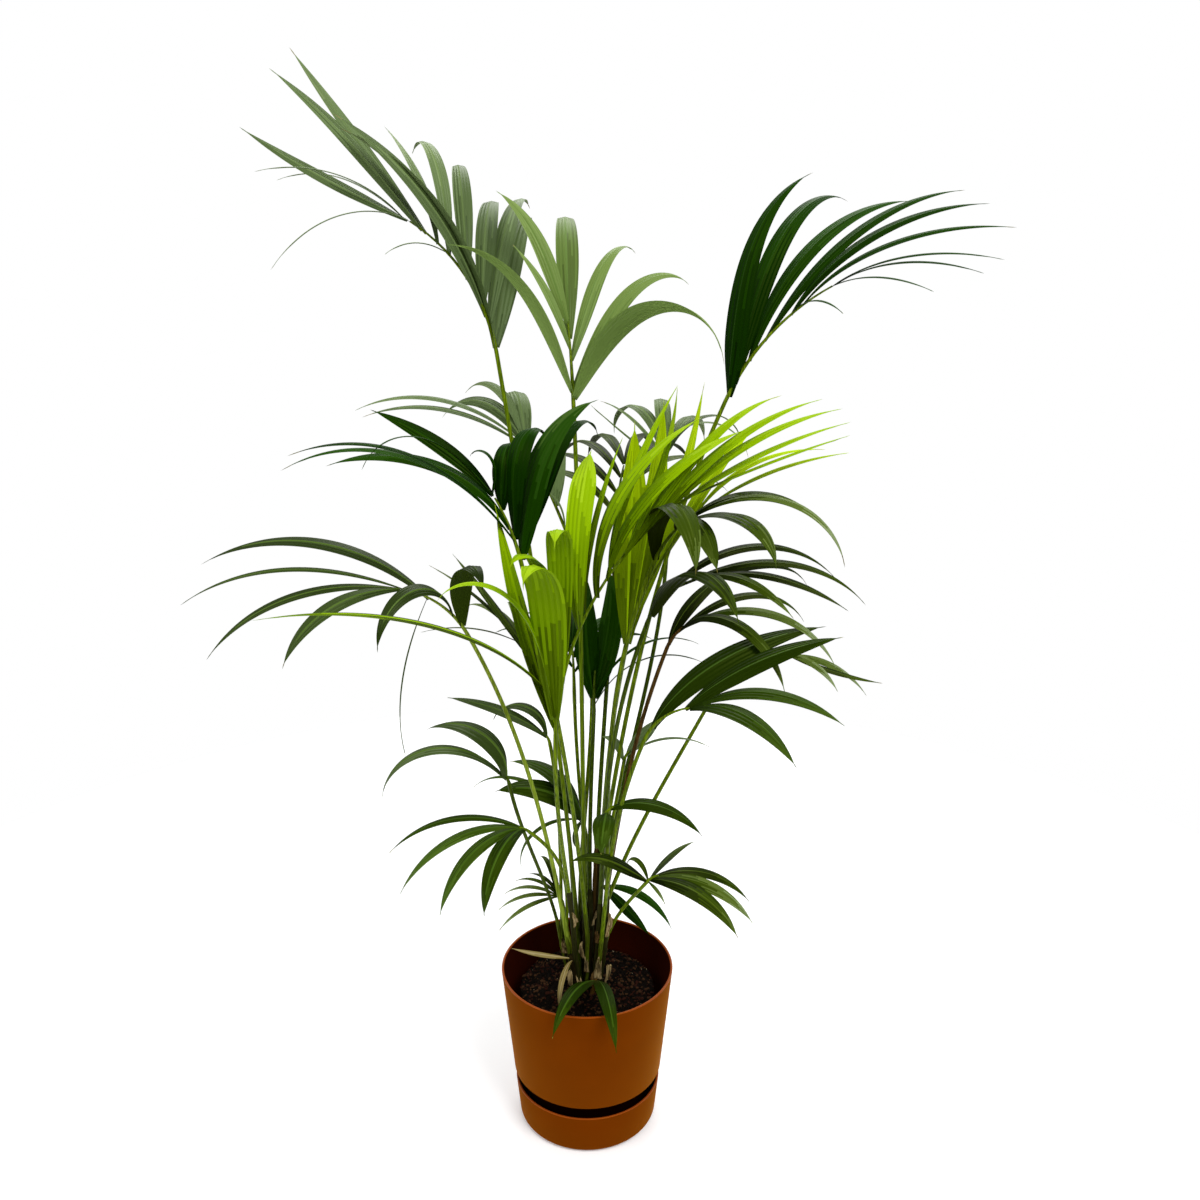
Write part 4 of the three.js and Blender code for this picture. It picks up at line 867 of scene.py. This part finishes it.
def husk(bm, wrapped, facing, spread, foot, height, stand_off, material):
    """A strip of dried sheath that wraps part of a cane or stalk, with a torn upper edge."""
    before = set(bm.faces)
    grid = bmesh.ops.create_grid(bm, x_segments=HUSK_STRIPS, y_segments=HUSK_STEPS, size=0.5)
    tears = [chance.uniform(SHORTEST_STRIP, 1) for _ in range(HUSK_STRIPS + 1)]
    phase = chance.uniform(0, 6)
    for vert in grid["verts"]:
        across, t = vert.co.x + 0.5, vert.co.y + 0.5
        level = foot + t * height * tears[round(across * HUSK_STRIPS)]
        middle, radius = husk_core(wrapped, level)
        angle = math.radians(facing + (across - 0.5) * spread * (1 - HUSK_TAPER * t))
        ripple = RIPPLE_HEIGHT * radius * (1 - HUSK_TAPER * t)
        curl = HUSK_CURL * t ** 3 + ripple * math.sin(across * RIPPLES + phase)
        out = radius + stand_off + curl
        vert.co = Vector(middle + [out * math.cos(angle), out * math.sin(angle), 0]) * MM
        vert.co.z = (SOIL_LEVEL - HUSK_SINK + level) * MM
    faces = [f for f in bm.faces if f not in before]
    bmesh.ops.recalc_face_normals(bm, faces=faces)
    bmesh.ops.solidify(bm, geom=faces, thickness=HUSK_THICKNESS * MM)
    for face in bm.faces:
        if face not in before:
            face.material_index = material


stalk_canes = {frond.name: frond.cane for frond in FRONDS}
for number, (name, *_) in enumerate(CANES):
    husk_bm = bmesh.new()
    for wrapped, *row in HUSKS:
        if stalk_canes.get(wrapped, wrapped) == number:
            husk(husk_bm, wrapped, *row)
    add_piece(name + "_husks", husk_bm, husk_skins, [name])

# %% [markdown]
# ## Leaflets
#
# A kentia leaflet is leathery and folded like a low roof along its midrib, with a few fine pleats
# on each side. It is pinched where it leaves the rachis, broadest before its middle, and ends in
# a thread. It could be a subdivided plane with a bend, but there are well over a hundred, so each
# is laid out as an array: a closed ring of points across it at each station along its line. The
# ridge of each pleat stays sharp, while the shading runs smoothly from root to tip.

# %% Leaflet sizes
ACROSS = 12                     # strips across a leaflet, an even number
ROOT_WIDTH = 0.3                # share of its full width that a leaflet starts with
BROADEST, THREAD = 0.42, 0.96   # shares of its length: where it is broadest, and where a thread
THREAD_WIDTH = 1.1              # mm
FULLNESS = 0.8                  # under 1 gives the outline fuller shoulders towards the tip
BLADE_THICKNESS, MIDRIB = 0.5, 0.9      # mm
THINNED = 0.6                   # share of its thickness that a blade loses towards its edge
ROOF = 13                       # degrees that each half slopes down from the midrib
ROOT_ROOF, ROOF_FADE = 42, 9    # the same at the root, where it is folded tighter, and how fast
TWIST, SWAY = 9, 2.5            # degrees, at most


def leaflet_width(t, broadest=BROADEST):
    """Share of the full width at shares of the length."""
    rising = ROOT_WIDTH + (1 - ROOT_WIDTH) * np.sin(np.pi / 2 * np.clip(t / broadest, 0, 1))
    falling = np.cos(np.pi / 2 * np.clip((t - broadest) / (THREAD - broadest), 0, 1))
    return np.where(t < broadest, rising, np.maximum(falling, 0) ** FULLNESS)


def leaflet_rows(fans):
    """Every leaflet of some fans, each shared out between its fan's first and last."""
    for count, first, *last in fans:
        for i in range(count):
            share = i / (count - 1) if count > 1 else 0
            yield np.array(first) + (np.array(last[0] if last else first) - first) * share


def leaflet_rings(line, row, pleat, chance):
    """A leaflet's rings [station, place in ring, xyz] in millimetres, its tip, and its UVs."""
    at, bearing, rise, length, width, droop, roll, bend, *broadest = row
    t = np.linspace(0, 1, STATIONS + 1)
    bearing = bearing + chance.uniform(-SWAY, SWAY)
    centres, rises = drooping(point_on(line, at), bearing, rise, length, droop, bend)
    level = heading(bearing + 90, 0)
    up = np.cross(heading(bearing, rises), level)
    turn = np.radians(roll + chance.uniform(-TWIST, TWIST) * (t - BROADEST))[:, None]
    across = level * np.cos(turn) + up * np.sin(turn)
    above = up * np.cos(turn) - level * np.sin(turn)

    half = np.maximum(leaflet_width(t, *broadest) * width, THREAD_WIDTH) / 2
    roof = np.radians(ROOF + (ROOT_ROOF - ROOF) * np.exp(-t * ROOF_FADE))
    u = np.linspace(1, -1, ACROSS + 1)
    zigzag = np.where(np.arange(ACROSS + 1) % 2 == 0, 0.5, -0.5)
    side = u * (half * np.cos(roof))[:, None]
    rise_at = -np.abs(u) * (half * np.sin(roof))[:, None]
    rise_at = rise_at + zigzag * pleat * (2 * half / ACROSS)[:, None] * 2
    thick = BLADE_THICKNESS * (1 - THINNED * np.abs(u)) + MIDRIB * (np.abs(u) < TINY)
    thick = np.minimum(thick, half[:, None])
    top = centres[:, None] + across[:, None] * side[..., None] + above[:, None] * rise_at[..., None]
    under = top - above[:, None] * thick[..., None]
    rings = np.concatenate([top, under[:, -2:0:-1]], axis=1)[:-1]
    u_ring = np.concatenate([u, u[-2:0:-1]])
    uvs = np.stack(np.broadcast_arrays(u_ring * half[:-1, None], (t[:-1] * length)[:, None]), -1)
    return rings, centres[-1], uvs

# %% [markdown]
# Where a shade falls on a leaflet is part of how it looks: the root in the crown's shadow is
# deeper, ribs are paler, old tips are dry. These colours have a place, so each shade is a plain
# material of its own, and every strip of a leaflet is dealt one by its place and a little chance.
# The finest veins are too small for the mesh, and run along the leaflet's own UV map as relief.

# %% Leathery leaf finishes
VEIN_SPACING, VEIN_DEPTH = 2.6, 0.25    # mm; real veins lie closer, and would not show
UNDER_GLOSS = 0.02              # specular level of an underside
YOUNG_SHEEN, BLOOM = (0.75, 1, 0.15, 1), (0.85, 1, 0.7, 1)      # older leaves have a bloom
RIB, UNDER, DRY = 5, 6, 7       # shades past those of the top
TOPS = 5                        # shades of the top, from deep to pale

# Pleats are over a strip's width, and slope is how much paler a leaflet gets towards its tip
Tint = namedtuple("Tint", "roughness gloss sheen pleats slope shades tones",
                  defaults=[(0.25, 0.68)])
TINTS = {
    # its underside shade, the seventh, is deeper than a real underside, as painted shade
    "dark": Tint(0.4, 0.06, YOUNG_SHEEN, 0.08, 0.4, [
        "#061e00", "#0c2a00", "#143600", "#22460a", "#3e5c20", "#204404", "#1e3a06", "#5c5a28"]),
    # its underside shade, the seventh, is deeper than a real underside, as painted shade
    "olive": Tint(0.36, 0.11, (0.85, 1, 0.25, 1), 0.08, 0.55, [
        "#0c1600", "#1c2a00", "#324404", "#546628", "#7e8e60", "#42540e", "#202a02", "#66602e"],
        tones=(0.15, 0.76)),
    # a green greyed by a painted sheen on the tops
    "grey": Tint(0.46, 0.25, BLOOM, 0.1, 0.25, [
        "#3a4c20", "#4d6032", "#647848", "#778a58", "#879868", "#6a8048", "#5c6c44", "#7c7648"]),
    # a mid green, made lighter by painted light shining through from behind
    "mid": Tint(0.46, 0.25, BLOOM, 0.1, 0.25, [
        "#4c6020", "#5c742e", "#6a823a", "#789048", "#869e58", "#66823a", "#84a052", "#8a8448"]),
    "lime": Tint(0.5, 0.12, YOUNG_SHEEN, 0.16, 0.8, [
        "#384a00", "#587200", "#749600", "#88ac00", "#9abc18", "#88ac02", "#94bc04", "#a4b438"]),
    "fresh": Tint(0.4, 0.12, YOUNG_SHEEN, 0.1, 0.45, [
        "#1a2c00", "#243800", "#32480c", "#46601e", "#5e743c", "#3c5814", "#3e5a28", "#7a7a34"]),
    # an olive green greyed by a painted sheen
    "sage": Tint(0.4, 0.14, (0.9, 1, 0.6, 1), 0.08, 0.25, [
        "#243408", "#324414", "#405226", "#526438", "#66764c", "#506a24", "#32420c", "#66602e"]),
    # a paler copy of the lime, as painted light shining through the leaflets
    "lemon": Tint(0.5, 0.12, YOUNG_SHEEN, 0.16, 0.7, [
        "#5c7400", "#789400", "#92b002", "#a6c606", "#b8d80e", "#a6cc04", "#8cac06", "#a4b438"]),
}


def leathery(kind, tint):
    """Satin skins of the shades of a tint, plain in colour, with veins as relief along the UVs."""
    look, skins = TINTS[tint], []
    for number, colour in enumerate(look.shades):
        material, shader = new_material(
            f"{kind} {tint} {number}", colour, look.roughness, Specular_Tint=look.sheen,
            Specular_IOR_Level=UNDER_GLOSS if number == UNDER else look.gloss)
        tree = material.node_tree
        place = add_node(tree, "ShaderNodeUVMap", uv_map="along leaflet").outputs[0]
        # At a scale of 1 the bands of a wave texture lie 2 pi / 20 apart
        veins = add_node(tree, "ShaderNodeTexWave", {
            "Vector": place, "Scale": 2 * math.pi / (20 * VEIN_SPACING * MM),
            "Distortion": 0.6, "Detail Scale": 0.2}, wave_type="BANDS", bands_direction="X")
        relief = add_node(tree, "ShaderNodeBump", {"Height": veins.outputs["Fac"],
                                                   "Strength": 0.12, "Distance": VEIN_DEPTH * MM})
        tree.links.new(relief.outputs["Normal"], shader.inputs["Normal"])
        skins.append(material)
    return skins


leaf_skins = {tint: leathery("leathery leaf", tint) for tint in TINTS}
print("leaf finishes", sum(len(skins) for skins in leaf_skins.values()))

# %% Shades along a leaflet
STRIP_CHANCE, PLEAT_LIGHT_AND_SHADE, HALF_IN_PAINTED_SHADE = 0.07, 0.03, 0.05  # strips differ at random; pleat faces by painted light and shade, one half by painted shade
RIB_REACH = 0.8                 # share of the length along which the rib shows
PAINTED_LIGHT_UNDERSIDES = ("lime", "lemon", "grey")        # tints whose undersides are graded too: painted shade at the root, painted light to the tip
UNDER_TONE, UNDER_SLOPE, UNDER_CHANCE = 0.2, 0.55, 1.2  # and what that painted grading starts from
DRY_FROM = (0.93, 1.05)         # where a dry tip starts; past 1 there is none


def leaflet_shades(tint, chance, own_tone=None):
    """A shade number for each face [station, strip] of one leaflet."""
    t = (np.arange(STATIONS) + 0.5) / STATIONS
    tone = chance.uniform(*TINTS[tint].tones)
    if own_tone is not None:
        tone = own_tone
    strips = np.array([chance.uniform(-STRIP_CHANCE, STRIP_CHANCE) for _ in range(ACROSS)])
    # alternate pleat faces get painted light and painted shade
    pleated = np.where(np.arange(ACROSS) % 2 == 0, PLEAT_LIGHT_AND_SHADE, -PLEAT_LIGHT_AND_SHADE)
    tones = tone + TINTS[tint].slope * (t[:, None] - 0.5) + strips + pleated
    # one half of the fold is in painted shade
    tones[:, ACROSS // 2:] -= HALF_IN_PAINTED_SHADE
    tops = np.clip((tones * TOPS).astype(int), 0, TOPS - 1)
    tops[t < RIB_REACH, ACROSS // 2 - 1] = RIB
    unders = np.full((STATIONS, ACROSS), UNDER)
    # undersides take the tops' shades: painted shade at the root, painted light towards the tip
    if tint in PAINTED_LIGHT_UNDERSIDES:
        depths = (own_tone or UNDER_TONE) + UNDER_SLOPE * t[:, None] + UNDER_CHANCE * strips
        unders = np.clip((depths * TOPS).astype(int), 1, TOPS - 1)
    shades = np.concatenate([tops, unders], axis=1)
    shades[t > chance.uniform(*DRY_FROM)] = DRY
    return shades

# %% Faces of a leaflet
RING = 2 * ACROSS


def leaflet_faces():
    """The faces of one leaflet: quads between rings, then its tip's and its root's triangles."""
    stations, places = np.mgrid[0:STATIONS - 1, 0:RING]
    here = stations * RING + places
    beside = stations * RING + (places + 1) % RING
    quads = np.stack([here, beside, beside + RING, here + RING], -1).reshape(-1, 4)
    last = (STATIONS - 1) * RING + np.arange(RING)
    tip = np.stack([last, (STATIONS - 1) * RING + (np.arange(RING) + 1) % RING,
                    np.full(RING, STATIONS * RING)], -1)
    return quads.tolist() + tip.tolist() + [list(range(RING))[::-1]]


FACES = leaflet_faces()
print("faces of a leaflet", len(FACES))

# %% Blades
OWN_TONES = {                   # leaflets with a set tone, from deep (0) to pale (1)
    # frond_young's leaflets 8 to 10 are set pale as painted light shining through them
    "frond_young": {0: 0.1, 8: 0.58, 9: 0.6, 10: 0.55},
    "frond_right_lower": {0: 0.02, 1: 0.1, 2: 0.4, 3: 0.36},
    "frond_left": {0: 0.15, 1: 0.3, 2: 0.2, 3: 0.35, 4: 0.1, 5: -0.2},
    "frond_small_right": {0: 0.22, 1: 0.38}, "frond_low_right": {0: 0.32},
}


def blade_mesh(name, line, rows, tint, own_tones=None):
    """Joined leaflets on one line, with their shades, UV map and sharp pleats."""
    chance = random.Random(name)
    own_tones = own_tones or {}
    points, faces, shades, uvs = [], [], [], []
    for number, row in enumerate(rows):
        rings, tip, uv = leaflet_rings(line, row, TINTS[tint].pleats, chance)
        first = sum(len(p) for p in points)
        points.append(np.vstack([rings.reshape(-1, 3), tip]))
        uvs.append(np.vstack([uv.reshape(-1, 2), [0, row[3]]]))
        faces += [[v + first for v in face] for face in FACES]
        shades += [*leaflet_shades(tint, chance, own_tones.get(number)).ravel(), UNDER]
    mesh = bpy.data.meshes.new(name)
    mesh.from_pydata((np.vstack(points) * MM).tolist(), [], faces)
    mesh.polygons.foreach_set("material_index", np.array(shades, dtype=np.int32))
    corners = np.empty(len(mesh.loops), dtype=np.int32)
    mesh.loops.foreach_get("vertex_index", corners)
    layer = mesh.uv_layers.new(name="along leaflet")
    layer.uv.foreach_set("vector", (np.vstack(uvs)[corners] * MM).ravel())
    ends = np.empty(2 * len(mesh.edges), dtype=np.int32)
    mesh.edges.foreach_get("vertices", ends)
    lengthwise = np.abs(ends[::2] - ends[1::2]) == RING
    mesh.shade_smooth()
    sharp = mesh.attributes.new("sharp_edge", "BOOLEAN", "EDGE")
    sharp.data.foreach_set("value", lengthwise)
    return mesh


for frond in FRONDS:
    mesh = blade_mesh(frond.name + "_leaflets", rachis_of(frond), leaflet_rows(frond.fans),
                      frond.tint, OWN_TONES.get(frond.name))
    add_mesh(mesh.name, mesh, leaf_skins[frond.tint], [frond.name], smooth=False)

# %% [markdown]
# ## Seedling leaf and withered leaves
#
# At the front a young plant's first leaf, split in two lobes, leans out over the rim on a short
# stalk. Two old leaves hang dry and curled from the front left cane. They are leaflets like the
# others, on lines of their own, and the dry ones get tan shades and deeper pleats.

# %% Seedling leaf
FRONT_ROOT, FRONT_FOOT = (6, -24, SOIL_LEVEL - 5), (12, -28, 232)
FRONT_LEAVING = (-100, 50)      # bearing and rise of its stalk's end
FRONT_LOBES = [[1, -112, 34, 152, 23, 92, 0, 1.6], [1, -80, 38, 162, 22, 100, 0, 1.3]]
FRONT_TONES = {0: 0.12, 1: 0.06}

front_line = stalk_line(np.array(FRONT_ROOT, float), np.array(FRONT_FOOT, float),
                        heading(*FRONT_LEAVING))
front_bm = bmesh.new()
sweep(front_bm, front_line, np.linspace(STALK_RADIUS, RACHIS_RADIUS, len(front_line)))
add_piece("leaf_front_waxy_stalk", front_bm, [brown_stalk], ["leaf_front"])
front_mesh = blade_mesh("leaf_front_lobes", front_line, np.array(FRONT_LOBES), "fresh",
                        FRONT_TONES)
add_mesh(front_mesh.name, front_mesh, leaf_skins["fresh"], ["leaf_front"], smooth=False)

# %% Withered leaves
WITHERED = [                    # foot, then bearing, rise and so on as for any leaflet
    ((-24, -24, 266), [0, 189, 12, 84, 12, -10, 0, 2]),
    ((-20, -24, 262), [0, 248, 32, 92, 8, 150, 0, 0.9]),
]
TINTS["dry"] = Tint(0.85, 0.1, (1, 0.9, 0.6, 1), 0.45, 0.25, [
    "#55481f", "#72622f", "#8c7c4c", "#a39468", "#b4a67e", "#a89a70", "#7c6e44", "#5a4a28"])
leaf_skins["dry"] = leathery("withered leaf", "dry")
for number, (foot, row) in enumerate(WITHERED):
    line = np.array([foot, foot], float)
    mesh = blade_mesh(f"withered_leaf_{number}", line, [np.array(row)], "dry")
    add_mesh(mesh.name, mesh, leaf_skins["dry"], ["cane_front_left"], smooth=False)
